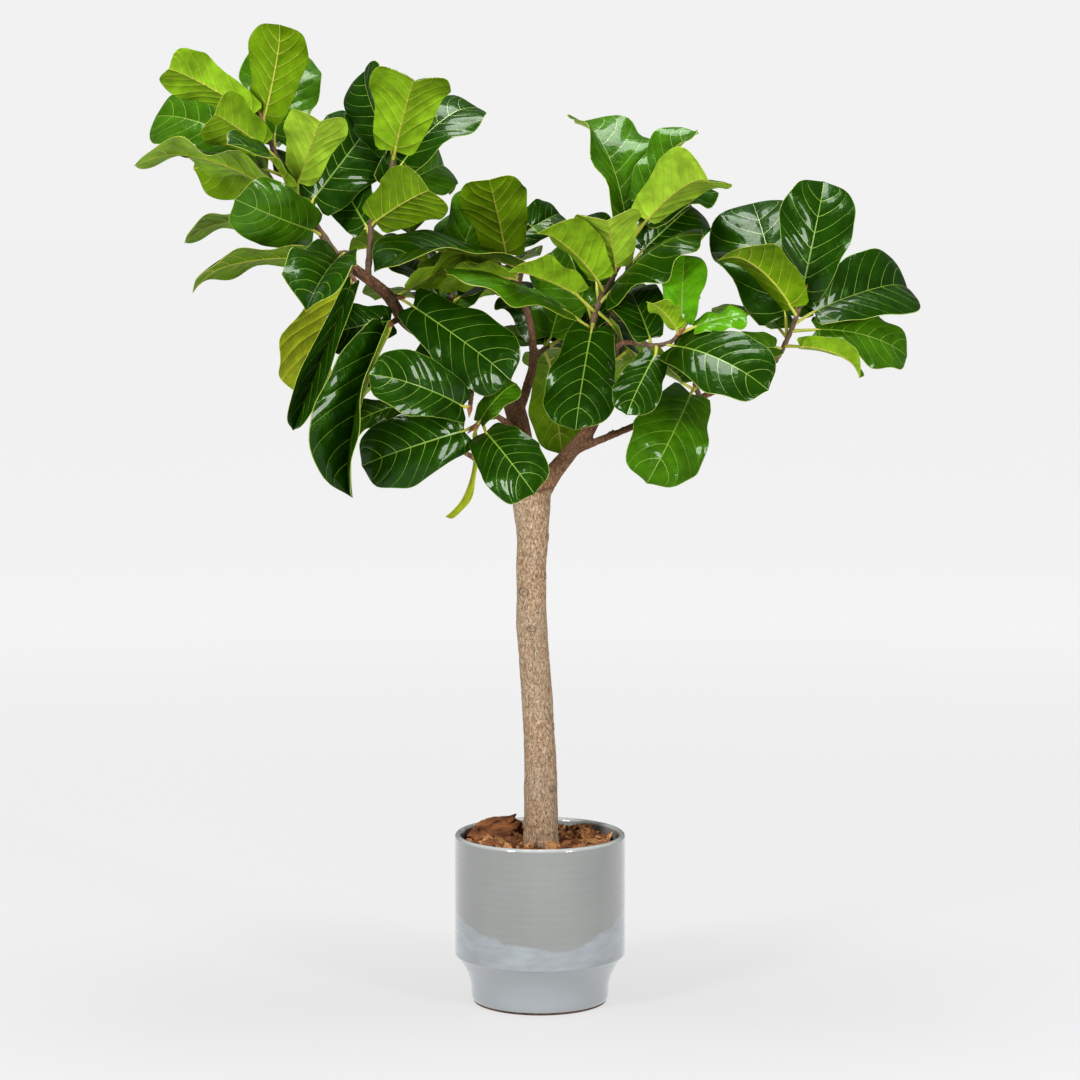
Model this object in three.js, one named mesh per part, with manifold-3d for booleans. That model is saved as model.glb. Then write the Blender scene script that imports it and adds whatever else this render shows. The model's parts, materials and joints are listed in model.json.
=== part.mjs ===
// A potted fiddle-leaf fig: a standard tree about 2.27 m tall in a glazed round pot.
// Millimetres, +Z up. The origin is the centre of the pot's flat underside.
// From the front, looking along +Y, +X is to the right.
import * as THREE from "three";
import { mergeVertices } from "three/addons/utils/BufferGeometryUtils.js";
import Module from "manifold-3d";

const wasm = await Module();
wasm.setup();

// Driving sizes of the pot and what fills it
const potHeight = 398;
const potRadius = 200;
const potWall = 16;
const potFloor = 24;
const footRadius = 157;
const footHeight = 116;
const soilTop = 345;
const mulchBed = 18;
const chipCount = 38;
const gap = 0.3;

// Driving sizes of the foliage, as shares of a leaf's length where they scale with it
const leafThickness = 0.012;
const petioleLength = 42;
const petioleRadius = 4;
const vector = (point) => new THREE.Vector3(...point);
const radians = THREE.MathUtils.degToRad;
const up = new THREE.Vector3(0, 0, 1);

// The trunk and the main boughs: a path of points, each with the limb's radius there.
const limbs = {
  trunk: [
    [2, 0, soilTop + gap, 46], [2, 0, 410, 40.5], [2, 0, 500, 39.5], [0, 0, 600, 37], [-6, 0, 712, 36],
    [-14, 0, 818, 36.3], [-20, 0, 910, 35], [-20, 0, 1006, 35], [-17, 0, 1100, 37], [-20, 0, 1175, 45],
    [-22, 0, 1212, 44], [-22, 0, 1228, 36],
  ],
  bough_left: [
    [-28, 4, 1200, 26], [-42, 4, 1310, 27], [-58, 4, 1390, 24], [-88, 2, 1455, 19], [-150, 0, 1505, 17],
    [-230, 0, 1546, 16], [-306, 0, 1590, 15], [-352, 0, 1655, 14], [-410, 0, 1702, 13], [-470, 0, 1746, 12],
  ],
  bough_right: [
    [-4, -2, 1185, 23], [28, -4, 1240, 21], [72, -8, 1295, 18], [111, -10, 1341, 16], [132, -10, 1395, 15],
    [138, -10, 1460, 13], [131, -12, 1529, 11],
  ],
  bough_far_right: [
    [84, -8, 1296, 9], [132, -12, 1318, 9], [189, -10, 1341, 8.5], [280, -4, 1380, 8],
    [369, 0, 1417, 8], [455, 10, 1456, 7.5], [526, 20, 1489, 7], [545, 24, 1502, 7],
  ],
  bough_right_front: [[136, -10, 1425, 8], [151, -42, 1500, 8], [184, -80, 1546, 7], [227, -110, 1550, 6.5]],
  bough_right_back: [[136, -10, 1470, 8], [152, 40, 1560, 8], [182, 72, 1640, 7.5], [203, 80, 1702, 7]],
  bough_middle: [
    [-52, 4, 1372, 11], [-30, 30, 1440, 11], [-16, 50, 1500, 10], [-24, 92, 1592, 9], [-56, 128, 1662, 8],
  ],
  bough_low_left: [[-42, 2, 1318, 10], [-66, -30, 1352, 9], [-104, -58, 1384, 7.5]],
  bough_low_back: [
    [-26, 6, 1212, 9], [-80, 14, 1242, 8], [-140, 10, 1270, 7], [-200, 0, 1312, 6.5], [-250, -6, 1384, 6],
  ],
};

// Each mass of foliage: the path of its one stem with its radius, and its leaves in the order they are set.
// A leaf: place on the stem (0 foot, 1 tip), clock (degrees from straight up, clockwise from the front),
// lean (degrees towards the front), length, roll about its own length; then, where they are not the usual
// ones, its stalk's length, its fold (degrees that each half rises from flat) and its share of full breadth.
// behind: how many more leaves the seeded rule sets on the stem's far side.
const masses = {
  foliage_left_top: {
    stem: [[-466, 0, 1742, 9], [-538, 4, 1850, 8], [-598, 16, 1955, 7], [-632, 18, 2045, 5]],
    leaves: [
      [1, 12, 10, 220, -58, 14, 30], [0.35, -74, 12, 330, 12, 70, 15], [0.14, -66, 30, 235, -90, 30, 10],
      [1, -60, 12, 255, 98, 34, 50, 0.8], [0.43, 24, 45, 225, -34, 36, 38], [0.2, -97, 8, 225, 20, 84, 12],
      [0.3, 36, -35, 265, 66, 40, 12], [0.74, 4, -38, 270, 15, 40, 8], [0.66, -72, -18, 250, -70, 80, 15],
      [0.42, -49, 32, 240, -60, 40, 20, 0.7], [0.56, -88, -24, 240, 70, 60, 15],
      [0.7, -54, 45, 190, 60, 50, 25],
    ],
    behind: 5,
  },
  foliage_left_side: {
    stem: [[-446, -8, 1736, 7], [-444, -42, 1752, 6.5], [-486, -64, 1744, 5]],
    leaves: [
      [1, -99, 8, 280, 20, 34, 16], [0.5, -150, 52, 265, 7, 44, 50],
    ],
    behind: 0,
  },
  foliage_left_second: {
    stem: [
      [-396, 4, 1696, 8], [-391, 22, 1760, 7.5], [-384, 32, 1835, 7], [-350, 40, 1905, 6.5],
      [-334, 40, 1985, 5],
    ],
    leaves: [
      [0.42, 60, 52, 250, -48, 16, 25], [0.93, 18, 45, 262, -15, 24, 35],
      [0.95, -34, -42, 215, -80, 30, 28], [0.8, 50, -25, 250, 25, 40, 15, 0.85],
      [0.62, 62, -42, 195, 60, 30, 35], [0.33, -32, -42, 200, -45, 36, 4],
    ],
    behind: 3,
  },
  foliage_left_hanging: {
    stem: [[-436, 0, 1716, 7], [-434, -34, 1704, 6.5], [-426, -62, 1696, 5]],
    leaves: [
      [1, -158, 5, 355, -78, 20, 60, 0.45], [0.35, -170, -42, 350, -49, 26, 55],
    ],
    behind: 0,
  },
  foliage_left_inner: {
    stem: [[-338, -4, 1640, 7], [-334, -40, 1652, 6], [-322, -64, 1652, 5]],
    leaves: [
      [1, 132, 6, 280, 58, 40, 12], [0.5, 66, -38, 185, -40, 30, 15],
    ],
    behind: 0,
  },
  foliage_left_low: {
    stem: [[-318, 0, 1600, 7.5], [-330, -46, 1598, 7], [-338, -92, 1592, 5]],
    leaves: [
      [1, -166, 8, 385, -33, 20, 75], [0.25, -101, 16, 155, -72, 20, 10],
    ],
    behind: 0,
  },
  foliage_front: {
    stem: [[-140, 0, 1500, 7.5], [-152, -62, 1470, 7], [-156, -128, 1432, 6], [-158, -165, 1408, 5]],
    leaves: [
      [1, -68, 20, 232, -72, 20, 20],
    ],
    behind: 0,
  },
  foliage_low_front: {
    stem: [[-98, -54, 1380, 7], [-128, -84, 1376, 6.5], [-146, -112, 1362, 5]],
    leaves: [
      [0.62, 137, 50, 236, 40, 50, 5], [1, -108, 18, 245, -60, 30, 13],
      [0.8, -164, -15, 212, 135, 30, 20, 0.5], [0.95, 42, 10, 120, 8, 12, 10],
    ],
    behind: 0,
  },
  foliage_low_left: {
    stem: [[-248, -6, 1380, 5.5], [-282, 0, 1412, 5.5], [-322, 8, 1436, 5]],
    leaves: [
      [1, -76, -35, 190, -20, 30, 10], [0.45, -112, 10, 175, -30, 22, 8],
    ],
    behind: 2,
  },
  foliage_middle: {
    stem: [[-54, 124, 1660, 7], [-46, 90, 1690, 6], [-40, 52, 1712, 5]],
    leaves: [
      [1, -84, 14, 352, -8, 20, 23], [0.6, -95, -12, 185, 30, 60, 10], [0.4, -86, 30, 180, 30, 30, 10],
    ],
    behind: 0,
  },
  foliage_middle_back: {
    stem: [[-58, 136, 1668, 7], [-70, 164, 1710, 6.5], [-84, 188, 1752, 5]],
    leaves: [
      [0.65, -12, 42, 245, 16, 20, 20], [0.5, -48, -30, 225, -60, 40, 10], [1, 60, -50, 150, 60, 30, 30],
    ],
    behind: 2,
  },
  foliage_right: {
    stem: [
      [131, -12, 1524, 8.5], [120, -18, 1580, 8], [138, -18, 1645, 7], [164, -12, 1688, 6],
      [178, -10, 1716, 5],
    ],
    leaves: [
      [0.3, -170, 32, 260, -15, 24, 12], [0.23, -82, 8, 300, -15, 80, 13], [0.88, -12, 60, 235, 10, 20, 25],
      [0.58, -48, 20, 230, 38, 36, 36], [0.3, -34, -36, 225, -45, 40, 20], [0.45, 52, 18, 265, 28, 34, 0],
      [0.38, -68, 36, 200, 12, 76, 30], [0.4, 150, 10, 200, 30],
    ],
    behind: 2,
  },
  foliage_right_top: {
    stem: [[202, 80, 1698, 7], [212, 82, 1755, 6.5], [212, 80, 1812, 5]],
    leaves: [
      [0.7, 54, 52, 272, -32, 76, 38], [0.6, -22, -28, 300, 2, 60, 35], [1, 36, -15, 215, 12, 60, 45],
      [0.1, 50, -38, 215, 55, 60, 20],
    ],
    behind: 2,
  },
  foliage_right_front: {
    stem: [[222, -107, 1550, 6], [262, -136, 1546, 5.5], [296, -156, 1556, 5], [312, -166, 1574, 4]],
    leaves: [
      [0.52, 112, 40, 264, 55, 22, 10], [0.35, -152, 32, 168, -30, 26, 5], [1, 4, -28, 175, 0, 30, 15, 0.8],
      [0.22, -22, -50, 190, -20, 20, 25], [1, -42, 40, 110, 10, 14, 25], [1, 76, -15, 120, 50, 40, 10],
    ],
    behind: 0,
  },
  foliage_right_low: {
    stem: [[368, 0, 1416, 6.5], [362, -24, 1434, 6], [357, -44, 1446, 5]],
    leaves: [
      [1, -151, 42, 275, -40, 34, 5],
    ],
    behind: 2,
  },
  foliage_far_right: {
    stem: [[542, 23, 1499, 6.5], [566, 30, 1540, 6], [590, 22, 1600, 5.5], [604, 20, 1642, 4.5]],
    leaves: [
      [0.62, 12, -12, 272, 45, 66, 18], [0.58, 75, -30, 285, 50, 60, 30], [0.7, -52, 26, 240, 18, 24, 38],
      [0.4, -14, -38, 340, -20, 60, 15], [0.5, 106, -8, 225, 45, 60, 10],
      [0.3, 100, 22, 180, -50, 40, 40, 0.7], [0.25, -100, 30, 150, -60, 20, 40],
    ],
    behind: 3,
  },
  foliage_inner: {
    stem: [[-18, 50, 1496, 6.5], [6, 84, 1522, 6], [22, 112, 1530, 5]],
    leaves: [
      [0.6, 172, -16, 225, -25], [0.9, 60, -30, 230, 20],
    ],
    behind: 4,
  },
  foliage_back_left: {
    stem: [[-230, 0, 1548, 7], [-216, 90, 1592, 6.5], [-208, 160, 1640, 6], [-202, 220, 1700, 5]],
    leaves: [],
    behind: 8,
  },
  foliage_back_right: {
    stem: [[138, -8, 1450, 7], [164, 80, 1480, 6.5], [186, 160, 1530, 6], [200, 230, 1600, 5]],
    leaves: [],
    behind: 8,
  },
};

// Small repeatable random numbers between 0 and 1
function seeded(seed) {
  let state = seed;
  return () => {
    state = (state * 16807) % 2147483647;
    return state / 2147483647;
  };
}

// A smooth path through points, at t from 0 to 1. Works on points of any number of coordinates.
function pointOn(path, t) {
  const last = path.length - 1;
  const whole = Math.min(Math.floor(t * last), last - 1);
  const s = t * last - whole;
  const [b, c] = [path[whole], path[whole + 1]];
  const a = path[whole - 1] ?? b.map((value, i) => 2 * value - c[i]);
  const d = path[whole + 2] ?? c.map((value, i) => 2 * value - b[i]);
  return b.map((value, i) => {
    const slope = c[i] - a[i];
    const bend = 2 * a[i] - 5 * value + 4 * c[i] - d[i];
    const twist = 3 * value - a[i] - 3 * c[i] + d[i];
    return value + 0.5 * s * (slope + s * (bend + s * twist));
  });
}

// Geometry from points and triangles, and a solid from any closed geometry
function geometryOf(points, faces) {
  const geometry = new THREE.BufferGeometry().setFromPoints(points);
  return geometry.setIndex(faces.flat());
}

function solidOf(geometry) {
  const bare = new THREE.BufferGeometry();
  bare.setAttribute("position", geometry.getAttribute("position"));
  bare.setIndex(geometry.index);
  const merged = mergeVertices(bare, 1e-3);
  const corners = merged.index.array;
  const kept = [];
  for (let i = 0; i < corners.length; i += 3) {
    const [a, b, c] = corners.subarray(i, i + 3);
    if (a !== b && b !== c && c !== a) kept.push(a, b, c);
  }
  const vertProperties = merged.attributes.position.array;
  return new wasm.Manifold(new wasm.Mesh({ numProp: 3, vertProperties, triVerts: new Uint32Array(kept) }));
}

// The largest body of a solid: sealed hollows are filled and loose scraps dropped. It is picked again
// after its points are rounded to 32 bits and close ones merged, which can pinch off a sliver.
function mainBody(solid) {
  const largest = (bodies) => bodies.reduce((most, body) => (body.volume() > most.volume() ? body : most));
  const first = largest(solid.decompose()).simplify(0.05);
  return largest(solidOf(geometryFrom(first)).decompose());
}

function geometryFrom(solid) {
  const mesh = solid.getMesh();
  const geometry = new THREE.BufferGeometry();
  geometry.setAttribute("position", new THREE.BufferAttribute(mesh.vertProperties, 3));
  geometry.setIndex(new THREE.BufferAttribute(mesh.triVerts, 1));
  return geometry;
}

// A closed skin over rings of points that turn to the left round the way they follow
function skinOf(rings) {
  const sides = rings[0].length;
  const last = (rings.length - 1) * sides;
  const faces = [];
  for (let first = 0; first < last; first += sides)
    for (let s = 0; s < sides; s++) {
      const a = first + s;
      const b = first + ((s + 1) % sides);
      faces.push([a, b, b + sides], [a, b + sides, a + sides]);
    }
  for (let s = 1; s < sides - 1; s++) faces.push([0, s + 1, s], [last, last + s, last + s + 1]);
  return geometryOf(rings.flat(), faces);
}

// A tapering limb along a path of [x, y, z, radius]; grow makes it fatter and longer all round.
function limbGeometry(path, sides, steps, grow = 0) {
  const rings = [];
  let side = new THREE.Vector3(1, 0, 0);
  for (let i = 0; i <= steps; i++) {
    const t = i / steps;
    const [x, y, z, radius] = pointOn(path, t);
    const ahead = vector(pointOn(path, Math.min(t + 0.01, 1)).slice(0, 3));
    const way = ahead.sub(vector(pointOn(path, Math.max(t - 0.01, 0)).slice(0, 3))).normalize();
    side = side.clone().addScaledVector(way, -side.dot(way)).normalize();
    const lift = way.clone().cross(side);
    const centre = new THREE.Vector3(x, y, z);
    if (i === 0) centre.addScaledVector(way, -grow);
    if (i === steps) centre.addScaledVector(way, grow);
    rings.push(
      Array.from({ length: sides }, (_, s) => {
        const angle = (2 * Math.PI * s) / sides;
        const out = side.clone().multiplyScalar(Math.cos(angle)).addScaledVector(lift, Math.sin(angle));
        return centre.clone().addScaledVector(out, radius + grow);
      }),
    );
  }
  return skinOf(rings);
}

// The blade of a leaf
// Half of its outline, from the notch at its foot to its tip: how far along, how far out, and where the
// midrib is at that station, all as shares of the length. The foot has two lobes and a waist above them.
const outline = [
  [0, 0.012, 0], [-0.05, 0.18, 0.04], [0.18, 0.26, 0.17], [0.62, 0.36, 0.58], [0.92, 0.27, 0.86], [1, 0, 1],
];
const curlStart = 0.7;
const waveCount = 13;
const waveDepth = 7;
const waveShift = 2;
const twistCentre = 0.3;
const flattestMitre = 0.4;
const stemFollow = 0.35;

// What sets one leaf apart from the next
function traitsOf(random) {
  return {
    broad: 0.9 + 0.16 * random(),
    arch: 0.03 + 0.1 * random(),
    fold: 0.3 + 0.4 * random(),
    cup: 0.3 + 0.9 * random(),
    ripple: 0.02 + 0.06 * random(),
    phase: 2 * Math.PI * random(),
    twist: 0.5 * (random() - 0.5),
    curl: 0.12 * random(),
  };
}

// A leaf's own directions: along it, out of its upper face, and to its right
function frameOf(clock, lean, roll) {
  const turn = radians(clock);
  const tilt = radians(lean);
  const flat = Math.cos(tilt);
  const along = new THREE.Vector3(Math.sin(turn) * flat, -Math.sin(tilt), Math.cos(turn) * flat);
  const face = up.clone().addScaledVector(along, -along.z).normalize().applyAxisAngle(along, radians(roll));
  return { along, face, right: along.clone().cross(face) };
}

// A point of the blade: u along it and out to its right (negative to its left), as shares of its length.
// Each half rises from the midrib by the fold, bends back by the cup and ripples at its margin. The lift is
// square to the half, so that the blade is equally thick all over.
function bladePoint(leaf, u, out, lift = 0) {
  const { foot, length, along, face, right, traits, fold } = leaf;
  const side = Math.sign(out);
  const reach = Math.abs(out);
  const past = Math.max(0, u - curlStart) / (1 - curlStart);
  const rise = 4 * traits.arch * u * (1 - u) - traits.curl * past * past;
  const swing = waveCount * u + traits.phase + (side > 0 ? waveShift : 0);
  const wave = traits.ripple * waveDepth * reach * reach * Math.sin(swing);
  const slope = fold - traits.cup * reach;
  const thick = lift / length;
  const aside = out * Math.cos(slope) - side * thick * Math.sin(slope);
  const mitre = side === 0 ? 1 / Math.max(flattestMitre, Math.cos(fold)) : Math.cos(slope);
  const height = reach * Math.sin(slope) + wave + thick * mitre;
  const turn = traits.twist * (u - twistCentre);
  const across = aside * Math.cos(turn) - height * Math.sin(turn);
  const above = aside * Math.sin(turn) + height * Math.cos(turn) + rise;
  return foot
    .clone()
    .addScaledVector(along, length * u)
    .addScaledVector(right, length * across)
    .addScaledVector(face, length * above);
}

// A closed slab over rows of [upper, lower] pairs: three pairs across, or one at a pointed end. Where a
// row flares from its narrow foot, both halves are split from the foot's corners to the midrib.
const flare = 3;
function slabGeometry(rows) {
  const points = rows.flat(2);
  const faces = [];
  let next = 0;
  const place = rows.map((row) => row.map(() => (next += 2) - 2));
  const patch = (a, b, c) => faces.push([a, b, c], [a + 1, c + 1, b + 1]);
  const wall = (a, b) => faces.push([a, a + 1, b + 1], [a, b + 1, b]);
  const rowWidth = (row) => row[0][0].distanceTo(row.at(-1)[0]);
  for (let i = 0; i < place.length - 1; i++) {
    const [near, far] = [place[i], place[i + 1]];
    const flares = rowWidth(rows[i + 1]) > flare * rowWidth(rows[i]);
    for (let s = 0; s < 2; s++)
      if (far.length === 1) patch(near[s], near[s + 1], far[0]);
      else if (flares && s === 1) {
        patch(near[1], near[2], far[1]);
        patch(near[2], far[2], far[1]);
      } else {
        patch(near[s], near[s + 1], far[s + 1]);
        patch(near[s], far[s + 1], far[s]);
      }
    wall(near[2], far[far.length - 1]);
    wall(far[0], near[0]);
  }
  const first = place[0];
  wall(first[0], first[1]);
  wall(first[1], first[2]);
  const last = place.at(-1);
  if (last.length === 3) {
    wall(last[1], last[0]);
    wall(last[2], last[1]);
  }
  return geometryOf(points, faces);
}

// The rows of the blade, with a thin slab's thickness; grow is added all round.
function bladeRows(leaf, grow = 0) {
  const half = 0.5 * leafThickness * leaf.length + grow;
  const wide = leaf.traits.broad * (1 + (2 * grow) / leaf.length);
  return outline.map(([u, out, rib]) => {
    const row = out === 0 ? [[u, 0]] : [[u, -out * wide], [rib, 0], [u, out * wide]];
    return row.map(([station, side]) => [half, -half].map((lift) => bladePoint(leaf, station, side, lift)));
  });
}

// The row at the stalk's foot, inside the stem
function stalkRow(leaf) {
  return [-1, 0, 1].map((side) =>
    [1, -1].map((lift) =>
      leaf.root
        .clone()
        .addScaledVector(leaf.right, side * petioleRadius)
        .addScaledVector(leaf.face, 0.5 * lift * petioleRadius),
    ),
  );
}

// Small turns (clock, lean, roll) that a leaf tries, nearest first, to find a clear place
const turns = [[0, 0, 0]];
for (let step = 1; step <= 4; step++)
  for (const [clock, lean, roll] of [
    [0, 0, 1], [0, 0, -1], [0, 1, 0], [0, -1, 0], [1, 0, 0], [-1, 0, 0],
    [0, 1, 1], [0, -1, -1], [0, 1, -1], [0, -1, 1], [1, 1, 0], [-1, -1, 0],
  ])
    turns.push([6 * clock * step, 6 * lean * step, 9 * roll * step]);

const boxesMeet = (a, b) => [0, 1, 2].every((i) => a.min[i] <= b.max[i] && b.min[i] <= a.max[i]);

// Everything that is in place already, one entry for each limb, stem, stalk and blade
const standing = [];
function stand(solid, owner) {
  standing.push({ solid, owner, box: solid.boundingBox() });
}

function isClear(solid, spared) {
  const box = solid.boundingBox();
  return standing.every(
    (other) => other.owner === spared || !boxesMeet(box, other.box) || solid.intersect(other.solid).isEmpty(),
  );
}

// A leaf on a stem at the given place and turns, or nothing where no turn leaves it clear. The freedom says
// how many times further it may swing than the turns say.
function settle(mass, stem, leafSpec, random, freedom = 1) {
  const [place, clock, lean, length, roll, stalk = petioleLength, foldDegrees, breadth = 1] = leafSpec;
  const traits = traitsOf(random);
  traits.broad *= breadth;
  const fold = foldDegrees === undefined ? traits.fold : radians(foldDegrees);
  const root = vector(pointOn(stem, place).slice(0, 3));
  const before = vector(pointOn(stem, Math.max(0, place - 0.05)).slice(0, 3));
  const onward = root.clone().sub(before).normalize();
  for (const [moreClock, moreLean, moreRoll] of turns) {
    const frame = frameOf(clock + freedom * moreClock, lean + freedom * moreLean, roll + moreRoll);
    const way = frame.along.clone().addScaledVector(onward, stemFollow).normalize();
    const leaf = { ...frame, traits, fold, length, root, foot: root.clone().addScaledVector(way, stalk) };
    if (!isClear(solidOf(slabGeometry(bladeRows(leaf, 2 * gap))), null)) continue;
    const rows = bladeRows(leaf);
    const stalkSolid = solidOf(slabGeometry([stalkRow(leaf), rows[0]]));
    if (!isClear(stalkSolid, mass)) continue;
    stand(solidOf(slabGeometry(rows)), mass + " blades");
    stand(stalkSolid, mass);
    return solidOf(slabGeometry([stalkRow(leaf), ...rows]));
  }
  return null;
}

// The leaves that the front doesn't show: they go round the stem by the golden angle, on its far side.
function leavesBehind(count, random) {
  return Array.from({ length: count }, (_, i) => {
    const place = 0.3 + (0.65 * (i + 0.5)) / count;
    const clock = ((i * 137.5 + 40) % 240) - 120;
    return [place, clock, -45 - 35 * random(), 215 + 50 * random(), 30 * (random() - 0.5), 50];
  });
}

// The pot: one turned shell with a straight wall, and a foot that draws in below a crisp step
function lathe(profile, segments) {
  const points = profile.map(([radius, height]) => new THREE.Vector2(radius, height));
  return new THREE.LatheGeometry(points, segments).rotateX(Math.PI / 2);
}

const footCurve = [
  [footRadius, 3], [footRadius + 4, 14], [footRadius + 6, 42], [footRadius + 14, 70], [footRadius + 27, 94],
];
const potInside = [
  [footRadius - potWall, potFloor], [footRadius - potWall + 6, 50],
  [footRadius - potWall + 14, 80], [potRadius - potWall, footHeight + 12],
];
const rimRound = potWall / 2;
const rimArc = Array.from({ length: 7 }, (_, i) => {
  const angle = (Math.PI * i) / 6;
  return [potRadius - rimRound + rimRound * Math.cos(angle), potHeight - rimRound + rimRound * Math.sin(angle)];
});
const potProfile = [
  [0, 0], [footRadius - 3, 0], ...footCurve, [potRadius - 1, footHeight - 2], [potRadius, footHeight],
  ...rimArc, ...potInside.toReversed(), [0, potFloor],
];
const potGeometry = lathe(potProfile, 36);

const soilProfile = [
  [0, potFloor + gap], ...potInside.map(([radius, height]) => [radius - 2 * gap - 0.4, height + gap]),
  [potRadius - potWall - 2 * gap - 0.4, soilTop], [0, soilTop],
];
const soilGeometry = lathe(soilProfile, 24);

// The bark mulch: a bed with chips bedded in it, one large piece on the left, and a hole for the trunk
const trunkGrown = solidOf(limbGeometry(limbs.trunk, 12, 20, gap));

function chipGeometry(random, size) {
  const corners = [];
  for (const x of [-1, 1])
    for (const y of [-1, 1])
      for (const z of [-1, 1]) {
        const skew = () => 0.72 + 0.28 * random();
        corners.push(new THREE.Vector3(x * size[0] * skew(), y * size[1] * skew(), z * size[2] * skew()));
      }
  const quads = [[0, 1, 3, 2], [4, 6, 7, 5], [0, 4, 5, 1], [2, 3, 7, 6], [0, 2, 6, 4], [1, 5, 7, 3]];
  return geometryOf(corners, quads.flatMap(([a, b, c, d]) => [[a, b, c], [a, c, d]]));
}

function mulchSolid() {
  const random = seeded(77);
  const bedBottom = soilTop + gap;
  const bedTop = soilTop + mulchBed;
  const bedRadius = potRadius - potWall - 1;
  const bed = lathe([[0, bedBottom], [bedRadius, bedBottom], [bedRadius, bedTop], [0, bedTop + 4]], 32);
  const chips = [solidOf(bed)];
  for (let i = 0; i < chipCount; i++) {
    const size = [13 + 10 * random(), 7 + 6 * random(), 4 + 3 * random()];
    const far = (bedRadius - 26) * Math.sqrt((i + 0.5) / chipCount);
    const angle = radians(137.5 * i);
    const chip = chipGeometry(random, size);
    chip.rotateX(1.1 * (random() - 0.5)).rotateY(1.1 * (random() - 0.5)).rotateZ(2 * Math.PI * random());
    chip.translate(far * Math.cos(angle), far * Math.sin(angle), bedTop + 3 + 5 * random());
    chips.push(solidOf(chip));
  }
  const block = chipGeometry(random, [62, 30, 44]).rotateY(-0.25).rotateZ(0.2);
  chips.push(solidOf(block.translate(-104, 38, bedTop + 24)));
  const below = solidOf(lathe([[0, 0], [potRadius, 0], [potRadius, bedBottom], [0, bedBottom]], 32));
  return mainBody(wasm.Manifold.union(chips).subtract(trunkGrown).subtract(below));
}

// Looks: sRGB colour, roughness and metalness
const finishes = {
  glaze: { color: 0x8f999c, roughness: 0.18, metalness: 0 },
  soil: { color: 0x2e2119, roughness: 1, metalness: 0 },
  mulch: { color: 0x8a4f2c, roughness: 0.9, metalness: 0 },
  bark: { color: 0xa08a70, roughness: 0.85, metalness: 0 },
  boughBark: { color: 0x6b4634, roughness: 0.8, metalness: 0 },
  leaf: { color: 0x2f7d1f, roughness: 0.35, metalness: 0 },
};
const materials = Object.fromEntries(
  Object.entries(finishes).map(([name, finish]) => [name, new THREE.MeshStandardMaterial(finish)]),
);

const tree = new THREE.Group();
function add(name, geometry, material) {
  const mesh = new THREE.Mesh(geometry, material);
  mesh.name = name;
  tree.add(mesh);
}

add("pot", potGeometry, materials.glaze);
add("potting_soil", soilGeometry, materials.soil);
add("bark_mulch", geometryFrom(mulchSolid()), materials.mulch);

// Trunk and boughs: each bough is cut 0.3 mm clear of the limbs that carry it.
const grownLimbs = [];
for (const [name, path] of Object.entries(limbs)) {
  const isTrunk = name === "trunk";
  const [sides, steps] = isTrunk ? [12, 20] : [8, 2 * path.length - 2];
  let solid = solidOf(limbGeometry(path, sides, steps));
  for (const carrier of grownLimbs) solid = solid.subtract(carrier);
  solid = mainBody(solid);
  const grown = solidOf(limbGeometry(path, sides, steps, gap));
  grownLimbs.push(grown);
  stand(grown, "limbs");
  add(name, geometryFrom(solid), isTrunk ? materials.bark : materials.boughBark);
}

// The foliage: all stems first, then the leaves of each mass in turn
const stems = {};
for (const [name, { stem }] of Object.entries(masses)) {
  let solid = solidOf(limbGeometry(stem, 5, stem.length));
  for (const carrier of grownLimbs) solid = solid.subtract(carrier);
  stems[name] = mainBody(solid);
  stand(stems[name], name);
}

const freedomBehind = 2.5;
const leafSolids = {};
Object.entries(masses).forEach(([name, { stem, leaves }], order) => {
  const random = seeded(1000 + 37 * order);
  leafSolids[name] = leaves.map((leaf) => settle(name, stem, leaf, random));
});
Object.entries(masses).forEach(([name, { stem, behind }], order) => {
  const random = seeded(5000 + 91 * order);
  for (const leaf of leavesBehind(behind, random))
    leafSolids[name].push(settle(name, stem, leaf, random, freedomBehind));
});

for (const name of Object.keys(masses)) {
  const joined = wasm.Manifold.union([stems[name], ...leafSolids[name].filter((leaf) => leaf)]);
  add(name, geometryFrom(mainBody(joined)), materials.leaf);
}

export default tree;
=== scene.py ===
# A potted fiddle-leaf fig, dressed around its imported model: pot, mulch, bark and leaves
import json
from math import cos, exp, floor, pi, radians, sin, sqrt

import bmesh
import bpy
import numpy as np
from mathutils import Matrix, Vector, noise
from mathutils.bvhtree import BVHTree

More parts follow.
